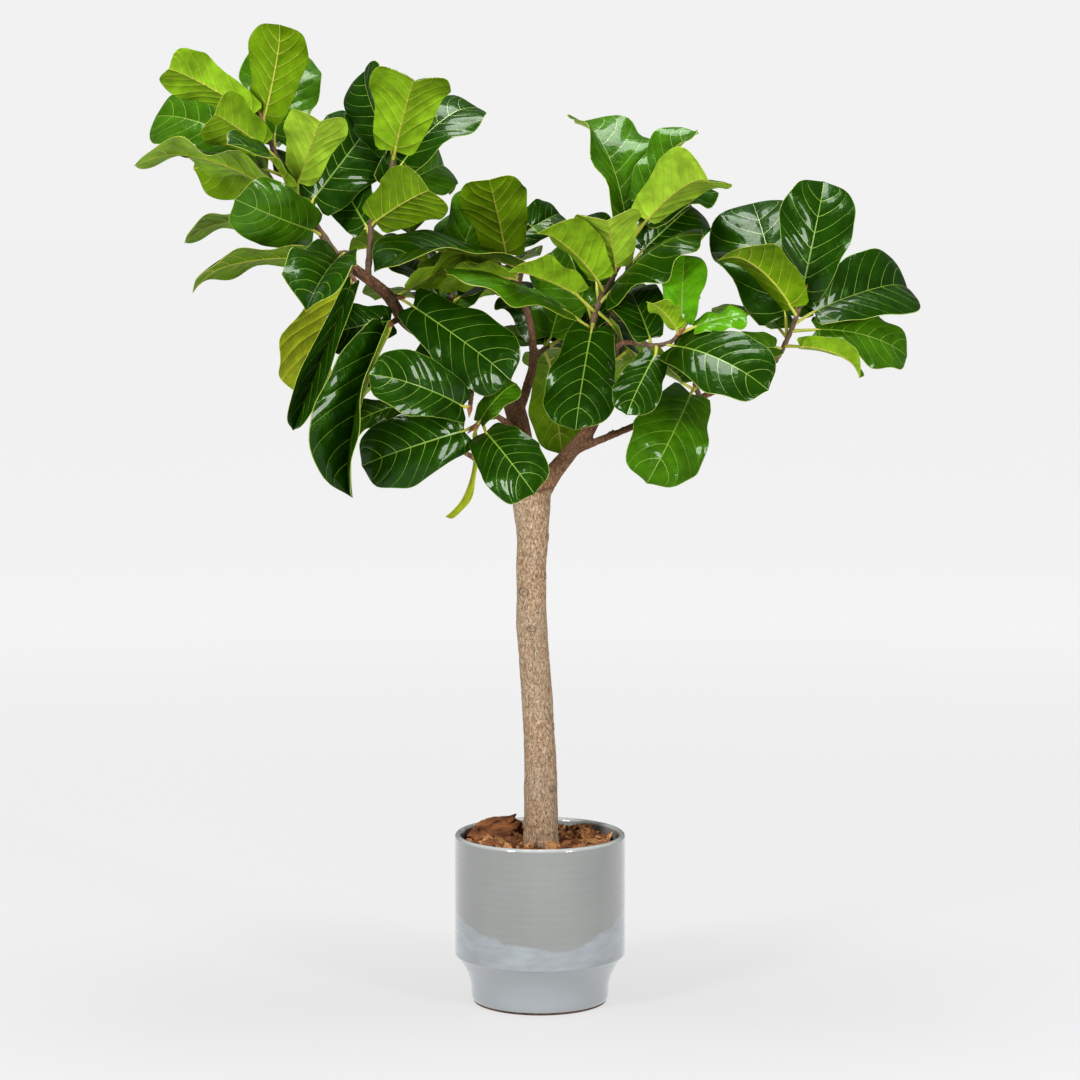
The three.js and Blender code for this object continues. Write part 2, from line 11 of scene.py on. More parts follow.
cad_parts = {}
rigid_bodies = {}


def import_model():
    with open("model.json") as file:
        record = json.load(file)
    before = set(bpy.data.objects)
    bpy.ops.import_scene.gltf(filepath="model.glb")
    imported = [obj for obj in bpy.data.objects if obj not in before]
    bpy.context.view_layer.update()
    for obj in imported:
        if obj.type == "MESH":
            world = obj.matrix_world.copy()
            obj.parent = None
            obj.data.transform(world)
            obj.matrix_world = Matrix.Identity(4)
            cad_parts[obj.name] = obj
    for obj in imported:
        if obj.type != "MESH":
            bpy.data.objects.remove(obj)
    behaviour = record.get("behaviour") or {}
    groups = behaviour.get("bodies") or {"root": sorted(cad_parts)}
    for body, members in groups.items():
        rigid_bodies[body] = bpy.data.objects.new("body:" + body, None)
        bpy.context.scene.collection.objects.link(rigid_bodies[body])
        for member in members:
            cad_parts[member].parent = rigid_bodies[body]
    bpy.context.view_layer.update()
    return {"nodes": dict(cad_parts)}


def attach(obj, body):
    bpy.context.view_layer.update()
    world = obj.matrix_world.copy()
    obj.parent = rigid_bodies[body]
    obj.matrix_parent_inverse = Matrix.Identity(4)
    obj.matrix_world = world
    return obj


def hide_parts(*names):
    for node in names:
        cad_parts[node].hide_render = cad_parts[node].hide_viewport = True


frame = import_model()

# Pot
# A thrown stoneware pot, 400 mm across and 398 mm tall, dipped in a glossy grey glaze that stops just above
# its underside. The straight wall ends in a crisp step and draws in to a narrower foot.
MM = 0.001
GAP = 0.3
POT_HEIGHT = 398
POT_RADIUS = 200
POT_WALL = 16
POT_FLOOR = 24
FOOT_RADIUS = 157
FOOT_HEIGHT = 116
BARE_CLAY = 7
ROUND_STEPS = 160


def placed(name, data):
    """A new object at the origin of the scene."""
    thing = bpy.data.objects.new(name, data)
    bpy.context.collection.objects.link(thing)
    return thing


def new_piece(name, points, faces, materials, slots=None):
    """A smooth mesh object from points in millimetres."""
    mesh = bpy.data.meshes.new(name)
    mesh.from_pydata(np.asarray(points) * MM, [], faces)
    for material in materials:
        mesh.materials.append(material)
    if slots is not None:
        mesh.polygons.foreach_set("material_index", np.asarray(slots, dtype=np.int32))
    mesh.polygons.foreach_set("use_smooth", np.full(len(mesh.polygons), True))
    mesh.update()
    return placed(name, mesh)


def feed(tree, socket, value):
    """Links a socket to another one, or sets it to a plain value."""
    if isinstance(value, bpy.types.NodeSocket):
        tree.links.new(value, socket)
    else:
        socket.default_value = value


def add_node(tree, kind, inputs, **settings):
    """A new node with its settings; its inputs go by name or number."""
    node = tree.nodes.new(kind)
    for name, value in settings.items():
        setattr(node, name, value)
    for key, value in inputs.items():
        feed(tree, node.inputs[key], value)
    return node


class Finish:
    """A material built up call by call; every pattern reads Object coordinates."""

    def __init__(self, name, color, roughness, **sockets):
        self.material = bpy.data.materials.new(name)
        self.material.use_nodes = True
        self.tree = self.material.node_tree
        self.shader = self.tree.nodes["Principled BSDF"]
        for socket, value in {"Base Color": (*color, 1), "Roughness": roughness, **sockets}.items():
            self.shader.inputs[socket.replace("_", " ")].default_value = value
        self.place = self.node("TexCoord", {}).outputs["Object"]
        self.height = None

    def node(self, kind, inputs, **settings):
        return add_node(self.tree, "ShaderNode" + kind, inputs, **settings)

    def to_shader(self, socket, source):
        feed(self.tree, self.shader.inputs[socket], source)

    def stretched(self, scale):
        return self.node("Mapping", {"Vector": self.place, "Scale": scale}).outputs["Vector"]

    def noise(self, scale, detail=4, roughness=0.55, distortion=0.0, stretch=(1, 1, 1)):
        return self.node("TexNoise", {
            "Scale": scale, "Detail": detail, "Roughness": roughness, "Distortion": distortion,
            "Vector": self.stretched(stretch),
        }).outputs["Fac"]

    def attribute(self, name):
        return self.node("Attribute", {}, attribute_name=name).outputs["Fac"]

    def ramp(self, source, stops):
        """Colours along a value: stops are (place, colour) pairs."""
        node = self.node("ValToRGB", {"Fac": source})
        elements = node.color_ramp.elements
        while len(elements) < len(stops):
            elements.new(0.5)
        for element, (place, color) in zip(elements, stops):
            element.position = place
            element.color = (*color, 1)
        return node.outputs["Color"]

    def mix(self, share, first, second, blend="MIX"):
        """One colour over another; this node's share and two colours are its inputs 0, 6 and 7."""
        first, second = [(*value, 1) if isinstance(value, tuple) else value for value in (first, second)]
        inputs = {0: share, 6: first, 7: second}
        return self.node("Mix", inputs, data_type="RGBA", blend_type=blend).outputs[2]

    def between(self, source, low, high, to_low=0.0, to_high=1.0):
        """A value's place between low and high, carried over to another range."""
        inputs = {"Value": source, "From Min": low, "From Max": high, "To Min": to_low, "To Max": to_high}
        return self.node("MapRange", inputs).outputs["Result"]

    def math(self, operation, *terms):
        return self.node("Math", dict(enumerate(terms)), operation=operation).outputs["Value"]

    def axis(self, name):
        return self.node("SeparateXYZ", {"Vector": self.place}).outputs[name]

    def bump(self, source, distance, strength=1.0):
        """Relief by a distance in metres, on top of the relief that is there."""
        inputs = {"Height": source, "Distance": distance, "Strength": strength}
        if self.height is not None:
            inputs["Normal"] = self.height
        self.height = self.node("Bump", inputs).outputs["Normal"]
        self.to_shader("Normal", self.height)


# The grey glaze is painted paler and bluish low on the wall, a painted reflection of the pale floor that
# climbs towards the sides.
FLOOR_REFLECTION_HEIGHT, FLOOR_REFLECTION_CLIMB, FLOOR_REFLECTION_EDGE = 0.205, 1.7, 0.003
glaze = Finish(
    "grey_glaze", (0.29, 0.295, 0.285), 0.08,
    Coat_Weight=1.0, Coat_Roughness=0.03, Specular_Tint=(0.75, 0.9, 1, 1),
)
clouds = glaze.noise(5, detail=3, stretch=(1, 1, 0.5))
cloudy = glaze.ramp(clouds, [(0.3, (0.222, 0.226, 0.216)), (0.7, (0.262, 0.266, 0.254))])
sideways = glaze.math("POWER", glaze.math("ABSOLUTE", glaze.axis("X")), 2)
ragged = glaze.noise(7, detail=5, distortion=0.8, stretch=(1, 1, 2.5))
reflection_edge = glaze.math("MULTIPLY_ADD", ragged, -0.09, FLOOR_REFLECTION_HEIGHT)
reflection_edge = glaze.math("MULTIPLY_ADD", sideways, FLOOR_REFLECTION_CLIMB, reflection_edge)
above_reflection = glaze.between(glaze.math("SUBTRACT", glaze.axis("Z"), reflection_edge), -FLOOR_REFLECTION_EDGE, FLOOR_REFLECTION_EDGE)
reflection_streaks = glaze.noise(16, detail=4, stretch=(1, 1, 3))
# Painted reflection: the paler, bluish tone below this edge stands in for the pale floor mirrored in the
# glaze.
painted_reflection_tone = glaze.ramp(reflection_streaks, [(0.35, (0.262, 0.285, 0.302)), (0.65, (0.33, 0.357, 0.378))])
with_painted_reflection = glaze.mix(above_reflection, painted_reflection_tone, cloudy)
below_step = glaze.between(glaze.axis("Z"), (FOOT_HEIGHT - 4) * MM, FOOT_HEIGHT * MM)
footed = glaze.mix(below_step, (0.315, 0.335, 0.35), with_painted_reflection)
# A thin band at the lip is painted paler: a painted highlight along the rim.
lip = glaze.between(glaze.axis("Z"), (POT_HEIGHT - 8) * MM, (POT_HEIGHT - 2) * MM)
highlit_lip = glaze.mix(lip, footed, (0.55, 0.57, 0.56))
speckle = glaze.between(glaze.noise(420, detail=2), 0.62, 0.75, 0, 0.35)
glaze.to_shader("Base Color", glaze.mix(speckle, highlit_lip, (0.2, 0.2, 0.19)))
glaze.to_shader("Roughness", glaze.between(glaze.noise(9, detail=4), 0.3, 0.7, 0.05, 0.12))
glaze.bump(glaze.noise(6, detail=2, stretch=(1, 1, 2.5)), 0.004)
glaze.bump(glaze.noise(60, detail=2), 0.0003)


def mottled(name, color, roughness, pattern, low, dark, high, light):
    """A finish whose colour goes from dark to light along a noise pattern given by its settings."""
    finish = Finish(name, color, roughness)
    finish.to_shader("Base Color", finish.ramp(finish.noise(*pattern), [(low, dark), (high, light)]))
    return finish


clay = mottled(
    "bare_clay", (0.07, 0.035, 0.02), 0.85, (90,), 0.35, (0.03, 0.016, 0.01), 0.7, (0.13, 0.06, 0.03),
)
clay.bump(clay.noise(700, detail=2), 0.0004)


def arc(center, radius, start, end, steps):
    """Points [radius, height] of an arc, its angles in degrees."""
    angles = np.radians(np.linspace(start, end, steps))
    return [[center[0] + radius * cos(a), center[1] + radius * sin(a)] for a in angles]


def ring_quads(rings, sides):
    """Quads between rings of points that follow each other."""
    return [
        (first + s, first + (s + 1) % sides, first + sides + (s + 1) % sides, first + sides + s)
        for first in range(0, (rings - 1) * sides, sides) for s in range(sides)
    ]


def turned(name, profile, materials, second_up_to):
    """A profile of [radius, height] points turned round Z, its ends on the axis; the second of the
    materials covers it up to a height."""
    middle = np.array(profile[1:-1])
    angles = 2 * np.pi * np.arange(ROUND_STEPS) / ROUND_STEPS
    rings = middle[:, None, 0, None] * np.stack([np.cos(angles), np.sin(angles)], 1)[None]
    heights = np.repeat(middle[:, 1], ROUND_STEPS).reshape(len(middle), ROUND_STEPS, 1)
    points = np.concatenate([rings, heights], 2).reshape(-1, 3)
    points = np.vstack([points, [[0, 0, profile[0][1]], [0, 0, profile[-1][1]]]])
    faces = ring_quads(len(middle), ROUND_STEPS)
    slots = np.repeat(middle[1:, 1] <= second_up_to, ROUND_STEPS).tolist()
    last = (len(middle) - 1) * ROUND_STEPS
    for s in range(ROUND_STEPS):
        t = (s + 1) % ROUND_STEPS
        faces += [(t, s, len(points) - 2), (last + s, last + t, len(points) - 1)]
        slots += (middle[[0, -1], 1] <= second_up_to).tolist()
    return new_piece(name, points, faces, materials, slots)


def point_on(path, t):
    """A point of any number of coordinates on a smooth path, at t from 0 to 1."""
    last = len(path) - 1
    whole = min(int(floor(t * last)), last - 1)
    s = t * last - whole
    b, c = path[whole], path[whole + 1]
    a = path[whole - 1] if whole > 0 else [2 * p - q for p, q in zip(b, c)]
    d = path[whole + 2] if whole + 2 <= last else [2 * q - p for p, q in zip(b, c)]
    return [
        q + 0.5 * s * ((r - p) + s * ((2 * p - 5 * q + 4 * r - e) + s * (3 * q - p - 3 * r + e)))
        for p, q, r, e in zip(a, b, c, d)
    ]


def smooth_path(points, steps):
    """Points along a smooth curve through the given ones."""
    return [point_on(points, t) for t in np.linspace(0, 1, steps)]


foot_curve = smooth_path([
    [FOOT_RADIUS, 3], [FOOT_RADIUS + 4, 14], [FOOT_RADIUS + 6, 42], [FOOT_RADIUS + 14, 70],
    [FOOT_RADIUS + 27, 94], [POT_RADIUS - 4, FOOT_HEIGHT - 5],
], 26)
foot_inside = FOOT_RADIUS - POT_WALL
pot_inside = smooth_path([
    [foot_inside - 4, POT_FLOOR + 3], [foot_inside + 6, 50], [foot_inside + 14, 80],
    [POT_RADIUS - POT_WALL, FOOT_HEIGHT + 12],
], 16)
rim_round = POT_WALL / 2
# The potter's fingers left faint rings on the wall, half a millimetre deep.
THROWING_RING, RING_PACE = 0.5, 0.19
wall_outside = [
    [POT_RADIUS - THROWING_RING * sin(RING_PACE * h) ** 2, h]
    for h in np.linspace(FOOT_HEIGHT + 6, POT_HEIGHT - 12, 60)
]
pot_profile = [
    [0, 0], [FOOT_RADIUS - 4, 0], [FOOT_RADIUS - 1.2, 1],
    *foot_curve,
    *arc([POT_RADIUS - 4, FOOT_HEIGHT], 4, -55, 0, 7),
    *wall_outside,
    *arc([POT_RADIUS - rim_round, POT_HEIGHT - rim_round], rim_round, 0, 180, 17),
    *[[POT_RADIUS - POT_WALL, h] for h in (370, 330, 250, 180)],
    *reversed(pot_inside),
    [0, POT_FLOOR + 1],
]
pot = turned("glazed_pot", pot_profile, [glaze.material, clay.material], BARE_CLAY)
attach(pot, "root")
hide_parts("pot")

# Potting soil
# Dark moist potting mix fills the pot to about 50 mm below its rim. It is a plain fill, nearly all of it
# hidden under the bark chips.
SOIL_TOP = 345
soil = mottled(
    "potting_mix", (0.02, 0.013, 0.009), 0.95, (120,), 0.3, (0.012, 0.008, 0.006), 0.75, (0.05, 0.03, 0.018),
)
soil.bump(soil.noise(260), 0.002)
soil_slots = frame["nodes"]["potting_soil"].data.materials
soil_slots.clear()
soil_slots.append(soil.material)

# Bark mulch
# Chips of pine bark, 15 to 45 mm long, lie loose over the soil to just below the rim, with one large piece
# on the left that stands above it. They are brown outside and orange where they broke.
MULCH_BED = 18
# The seed of the chips, also for the noise that wears their edges, which would change from run to run
CHIP_SEED = 11
noise.seed_set(CHIP_SEED)
bed_top = SOIL_TOP + MULCH_BED
bed_radius = POT_RADIUS - POT_WALL - 3

chip_bark = Finish("bark_chips", (0.2, 0.08, 0.035), 0.85)
chip_tones = chip_bark.ramp(chip_bark.attribute("tone"), [
    (0.0, (0.17, 0.055, 0.015)), (0.35, (0.36, 0.125, 0.034)),
    (0.7, (0.48, 0.22, 0.07)), (1.0, (0.82, 0.40, 0.16)),
])
grain = chip_bark.noise(130, detail=7, roughness=0.65, distortion=1.0, stretch=(0.6, 1, 1.6))
shaded = chip_bark.ramp(grain, [(0.36, (0.22, 0.18, 0.15)), (0.58, (1, 1, 1))])
chip_bark.to_shader("Base Color", chip_bark.mix(0.75, chip_tones, shaded, "MULTIPLY"))
chip_bark.bump(grain, 0.004)


def bark_lump(name, half, seed, cuts, roughness):
    """A flake of bark: a box worn round, split along its length and layered like real bark."""
    work = bmesh.new()
    bmesh.ops.create_cube(work, size=2)
    bmesh.ops.subdivide_edges(work, edges=work.edges[:], cuts=cuts, use_grid_fill=True)
    for vertex in work.verts:
        at = vertex.co.copy()
        xx, yy, zz = at.x * at.x, at.y * at.y, at.z * at.z
        pull = 1 - 0.16 * (xx * yy + yy * zz + xx * zz)
        wobble = noise.noise_vector(at * 1.6 + Vector((seed * 7.3, 0, 0)))
        layer = 0.16 * sin(6 * at.z + 3 * noise.noise(at * 1.3 + Vector((0, seed, 0))))
        fibre = 0.22 * abs(noise.noise(Vector((at.x * 1.4, at.y * 5, at.z * 5 + seed))))
        vertex.co = Vector((
            half[0] * (at.x * pull + roughness * wobble.x + 0.5 * layer * at.x),
            half[1] * (at.y * (pull - fibre) + roughness * wobble.y + layer * at.y),
            half[2] * (at.z * (pull - fibre) + roughness * wobble.z),
        ))
    bmesh.ops.recalc_face_normals(work, faces=work.faces[:])
    mesh = bpy.data.meshes.new(name)
    work.to_mesh(mesh)
    work.free()
    mesh.materials.append(chip_bark.material)
    return placed(name, mesh)


def plain_mesh(thing):
    """The mesh that an object's modifiers make, and the modifiers removed."""
    graph = bpy.context.evaluated_depsgraph_get()
    mesh = bpy.data.meshes.new_from_object(
        thing.evaluated_get(graph), preserve_all_data_layers=True, depsgraph=graph)
    thing.modifiers.clear()
    return mesh


chip_kinds = bpy.data.collections.new("chip_kinds")
for kind in range(5):
    half = (0.020 - 0.002 * kind, 0.010 - 0.0008 * kind, 0.0035)
    lump = bark_lump(f"chip_kind_{kind}", half, kind + 1, 2, 0.34)
    bpy.context.collection.objects.unlink(lump)
    chip_kinds.objects.link(lump)

scatter = bpy.data.node_groups.new("scatter_chips", "GeometryNodeTree")
scatter.interface.new_socket("Geometry", in_out="OUTPUT", socket_type="NodeSocketGeometry")
for label, kind in {
    "Geometry": "Geometry", "Spacing": "Float", "Smallest": "Float", "Largest": "Float", "Tilt": "Float",
    "Seed": "Int", "Material": "Material",
}.items():
    scatter.interface.new_socket(label, in_out="INPUT", socket_type="NodeSocket" + kind)
given = scatter.nodes.new("NodeGroupInput").outputs


def random_node(kind, low, high, seed_shift):
    """Random values between two sockets or numbers, with a seed of their own."""
    first, second, drawn = {"FLOAT": (2, 3, 1), "FLOAT_VECTOR": (0, 1, 0)}[kind]
    seed = add_node(scatter, "ShaderNodeMath", {0: given["Seed"], 1: seed_shift}).outputs[0]
    inputs = {first: low, second: high, "Seed": seed}
    return add_node(scatter, "FunctionNodeRandomValue", inputs, data_type=kind).outputs[drawn]


points = add_node(scatter, "GeometryNodeDistributePointsOnFaces", {
    "Mesh": given["Geometry"], "Distance Min": given["Spacing"], "Density Max": 9000, "Seed": given["Seed"],
}, distribute_method="POISSON")
kinds = add_node(scatter, "GeometryNodeCollectionInfo", {
    "Collection": chip_kinds, "Separate Children": True, "Reset Children": True,
})
tilt = given["Tilt"]
opposite = add_node(scatter, "ShaderNodeMath", {0: tilt, 1: -1}, operation="MULTIPLY").outputs[0]
lean_low = add_node(scatter, "ShaderNodeCombineXYZ", {"X": opposite, "Y": opposite}).outputs[0]
lean_high = add_node(scatter, "ShaderNodeCombineXYZ", {"X": tilt, "Y": tilt, "Z": 2 * pi}).outputs[0]
put = add_node(scatter, "GeometryNodeInstanceOnPoints", {
    "Points": points.outputs["Points"], "Instance": kinds.outputs[0], "Pick Instance": True,
    "Rotation": random_node("FLOAT_VECTOR", lean_low, lean_high, 1),
    "Scale": random_node("FLOAT", given["Smallest"], given["Largest"], 2),
})
toned = add_node(scatter, "GeometryNodeStoreNamedAttribute", {
    "Geometry": put.outputs["Instances"], "Name": "tone", "Value": random_node("FLOAT", 0.0, 1.0, 3),
}, domain="INSTANCE", data_type="FLOAT")
real = add_node(scatter, "GeometryNodeRealizeInstances", {"Geometry": toned.outputs["Geometry"]})
painted = add_node(scatter, "GeometryNodeSetMaterial", {
    "Geometry": real.outputs["Geometry"], "Material": given["Material"],
})
add_node(scatter, "NodeGroupOutput", {"Geometry": painted.outputs["Geometry"]})


def disc_points(radii, height, sides, lift):
    """Rings of points in a disc with a hole, their height varied by lift(x, y)."""
    angles = 2 * np.pi * np.arange(sides) / sides
    flat = [(r * cos(a), r * sin(a)) for r in radii for a in angles]
    return [[x, y, height + lift(x, y)] for x, y in flat]


def upward_quads(rings, sides):
    """Quads that face up between rings of points of growing radius."""
    return [(a, d, c, b) for a, b, c, d in ring_quads(rings, sides)]


def mound(x, y):
    """How far the bed stands above its level, higher towards the back, in millimetres."""
    return 7 * noise.noise(Vector((x / 60, y / 60, 0.4))) + 0.06 * max(0, y + 40)


carrier_points = disc_points(np.linspace(48, bed_radius - 14, 12), bed_top + 6, 48, mound)
carrier = new_piece("chip_carrier", carrier_points, upward_quads(12, 48), [])
growth = carrier.modifiers.new("grow", "NODES")
growth.node_group = scatter
values = {
    "Spacing": 0.0115, "Smallest": 0.6, "Largest": 1.7, "Tilt": 0.9,
    "Seed": CHIP_SEED, "Material": chip_bark.material,
}
for item in scatter.interface.items_tree:
    if item.in_out == "INPUT" and item.name in values:
        growth[item.identifier] = values[item.name]
chips = placed("bark_chips", plain_mesh(carrier))
bpy.data.objects.remove(carrier)
for lump in list(chip_kinds.objects):
    bpy.data.objects.remove(lump)
bpy.data.collections.remove(chip_kinds)

block = bark_lump("bark_block", (0.060, 0.027, 0.040), 5, 14, 0.20)
block_tones = [
    0.22 + 0.55 * noise.noise(Vector((vertex.co.x * 25, vertex.co.y * 60, vertex.co.z * 60)))
    for vertex in block.data.vertices
]
block.data.attributes.new("tone", "FLOAT", "POINT").data.foreach_set("value", block_tones)
block_place = Matrix.Translation((-0.104, 0.038, (bed_top + 24) * MM))
block.data.transform(block_place @ Matrix.Rotation(0.2, 4, "Z") @ Matrix.Rotation(-0.25, 4, "Y"))

bed = mottled(
    "crumbled_bark", (0.06, 0.025, 0.014), 0.95,
    (90, 6), 0.35, (0.02, 0.01, 0.007), 0.7, (0.14, 0.055, 0.025),
)
bed.bump(bed.noise(140), 0.004)
# The crumbs are one closed ring: out over the top, down the side, and back in over the soil.
CRUMB_RINGS, CRUMB_SIDES = 24, 96
radii = np.linspace(38, bed_radius, CRUMB_RINGS)
points = disc_points(radii, bed_top, CRUMB_SIDES, mound)
points += disc_points(radii[[-1, 0]], SOIL_TOP + GAP, CRUMB_SIDES, lambda x, y: 0)
quads = [tuple(v % len(points) for v in quad) for quad in upward_quads(CRUMB_RINGS + 3, CRUMB_SIDES)]
crumbs = new_piece("bark_crumbs", points, quads, [bed.material])
for piece in (chips, block, crumbs):
    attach(piece, "root")
    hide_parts("bark_mulch")

# Trunk and boughs
# The living wood is one piece from the soil to the shoots: a grey-tan trunk about 75 mm thick with fine
# upright fissures and old bud scars, forking at 1.2 m into browner boughs that thin to finger width.
LIMBS = {
    "trunk": [
        [2, 0, SOIL_TOP + GAP, 46], [2, 0, 410, 40.5], [2, 0, 500, 39.5], [0, 0, 600, 37], [-6, 0, 712, 36],
        [-14, 0, 818, 36.3], [-20, 0, 910, 35], [-20, 0, 1006, 35], [-17, 0, 1100, 37], [-20, 0, 1175, 45],
        [-22, 0, 1212, 44], [-22, 0, 1228, 36],
    ],
    "bough_left": [
        [-28, 4, 1200, 26], [-42, 4, 1310, 27], [-58, 4, 1390, 24], [-88, 2, 1455, 19], [-150, 0, 1505, 17],
        [-230, 0, 1546, 16], [-306, 0, 1590, 15], [-352, 0, 1655, 14], [-410, 0, 1702, 13],
        [-470, 0, 1746, 12],
    ],
    "bough_right": [
        [-4, -2, 1185, 23], [28, -4, 1240, 21], [72, -8, 1295, 18], [111, -10, 1341, 16],
        [132, -10, 1395, 15],
        [138, -10, 1460, 13], [131, -12, 1529, 11],
    ],
    "bough_far_right": [
        [84, -8, 1296, 9], [132, -12, 1318, 9], [189, -10, 1341, 8.5], [280, -4, 1380, 8],
        [369, 0, 1417, 8], [455, 10, 1456, 7.5], [526, 20, 1489, 7], [545, 24, 1502, 7],
    ],
    "bough_right_front": [
        [136, -10, 1425, 8], [151, -42, 1500, 8], [184, -80, 1546, 7], [227, -110, 1550, 6.5],
    ],
    "bough_right_back": [[136, -10, 1470, 8], [152, 40, 1560, 8], [182, 72, 1640, 7.5], [203, 80, 1702, 7]],
    "bough_middle": [
        [-52, 4, 1372, 11], [-30, 30, 1440, 11], [-16, 50, 1500, 10], [-24, 92, 1592, 9], [-56, 128, 1662, 8],
    ],
    "bough_low_left": [[-42, 2, 1318, 10], [-66, -30, 1352, 9], [-104, -58, 1384, 7.5]],
    "bough_low_back": [
        [-26, 6, 1212, 9], [-80, 14, 1242, 8], [-140, 10, 1270, 7], [-200, 0, 1312, 6.5], [-250, -6, 1384, 6],
    ],
}


def unit(way):
    """A direction of length 1."""
    return way / (np.linalg.norm(way) or 1)


def limb_shell(path, sides, steps, grow=0.0):
    """Points and faces of a tapering limb along [x, y, z, radius] points, grown all round."""
    points = []
    side = np.array([1.0, 0.0, 0.0])
    for i in range(steps + 1):
        t = i / steps
        stop = np.array(point_on(path, t))
        ahead, behind = point_on(path, min(t + 0.01, 1)), point_on(path, max(t - 0.01, 0))
        way = unit(np.array(ahead[:3]) - np.array(behind[:3]))
        side = unit(side - way * side.dot(way))
        lift = np.cross(way, side)
        centre = stop[:3] + way * (grow * (i == steps) - grow * (i == 0))
        for s in range(sides):
            angle = 2 * pi * s / sides
            points.append(centre + (stop[3] + grow) * (cos(angle) * side + sin(angle) * lift))
    last = steps * sides
    ends = [tuple(range(sides - 1, -1, -1)), tuple(range(last, last + sides))]
    return points, ring_quads(steps + 1, sides) + ends


def joined_shells(shells):
    """One list of points and faces from several."""
    points, faces = [], []
    for more_points, more_faces in shells:
        shift = len(points)
        points.extend(more_points)
        faces.extend(tuple(v + shift for v in face) for face in more_faces)
    return points, faces


bark = Finish("tree_bark", (0.3, 0.2, 0.13), 0.85)
flecks = bark.noise(210, detail=6, roughness=0.65, distortion=0.5, stretch=(1, 1, 0.48))
specks = bark.noise(330, detail=3, roughness=0.6, stretch=(1, 1, 0.6))
rust = bark.noise(150, detail=4, stretch=(1, 1, 0.5))
patches = bark.noise(11, detail=3, stretch=(1, 1, 0.6))
tan = bark.ramp(flecks, [
    (0.30, (0.10, 0.055, 0.028)), (0.43, (0.27, 0.165, 0.09)),
    (0.55, (0.45, 0.31, 0.19)), (0.70, (0.70, 0.55, 0.39)),
])
brown = bark.ramp(flecks, [
    (0.30, (0.035, 0.014, 0.007)), (0.5, (0.14, 0.056, 0.024)), (0.72, (0.33, 0.155, 0.075)),
])
red = bark.ramp(flecks, [
    (0.30, (0.12, 0.045, 0.02)), (0.5, (0.30, 0.13, 0.06)), (0.72, (0.50, 0.27, 0.14)),
])
# The tan bark turns redder at the fork and brown on the boughs, between these heights.
REDDER, BROWNER = (1.185, 1.215), (1.24, 1.34)
greyer = bark.mix(bark.between(patches, 0.45, 0.65, 0, 0.4), tan, (0.38, 0.31, 0.22))
rusty = bark.mix(bark.between(rust, 0.56, 0.68, 0, 0.6), greyer, (0.33, 0.13, 0.05))
reddened = bark.mix(bark.between(bark.axis("Z"), *REDDER, 0, 0.8), rusty, red)
wood_color = bark.mix(bark.between(bark.axis("Z"), *BROWNER), reddened, brown)
speckled = bark.mix(bark.between(specks, 0.54, 0.64, 0, 0.8), wood_color, (0.07, 0.038, 0.02))
marked = bark.between(bark.attribute("mark"), 0.15, 0.8, 0, 0.85)
bark.to_shader("Base Color", bark.mix(marked, speckled, (0.06, 0.028, 0.014)))
bark.bump(flecks, 0.003)
bark.bump(specks, 0.0012)

# Dead twig stubs and buds on the bare wood: where each starts, and how far it points along x, y and z
STUBS = [
    ([156, -12, 1328], [4, -2, 15]), ([170, -11, 1334], [-3, -3, 14]), ([184, -10, 1340], [7, -2, 13]),
    ([-150, 8, 1275], [-5, -2, 14]), ([-166, 4, 1286], [-13, -2, 7]), ([-455, 0, 1738], [-15, -4, 5]),
]
STUB_TAPER = ((0, 3.6), (0.6, 3.2), (1, 2.4))
shells = [limb_shell(path, 24, 8 * len(path)) for path in LIMBS.values()]
for start, way in STUBS:
    stub = [[*(np.array(start) + share * np.array(way)), radius] for share, radius in STUB_TAPER]
    shells.append(limb_shell(stub, 8, 6))
wood = new_piece("trunk_and_boughs", *joined_shells(shells), [bark.material])
remesh = wood.modifiers.new("one_skin", "REMESH")
remesh.mode = "VOXEL"
remesh.voxel_size = 0.0032
remesh.use_smooth_shade = True
smooth = wood.modifiers.new("soften", "SMOOTH")
smooth.factor = 0.6
smooth.iterations = 6
skin = plain_mesh(wood)
wood.data = skin

# Old bud scars that face the front: height, side position, half width, half height, relief
SCARS = [
    (970, -38, 10, 9, 2.4), (884, -20, 11, 6, 2.6), (508, 28, 7, 7, 3.0), (652, 34, 5, 7, 2.0),
    (1004, 14, 5, 5, 2.0), (1096, 18, 5, 7, 2.6), (1060, -34, 5, 4, 1.8),
]
# A dark crack rings the top of the trunk, and above it the bark grows smoother over the next 30 cm.
RING_CRACK, CRACK_HALF = 1.206, 0.0022
SMOOTH_FROM, SMOOTH_OVER = 1.16, 0.3


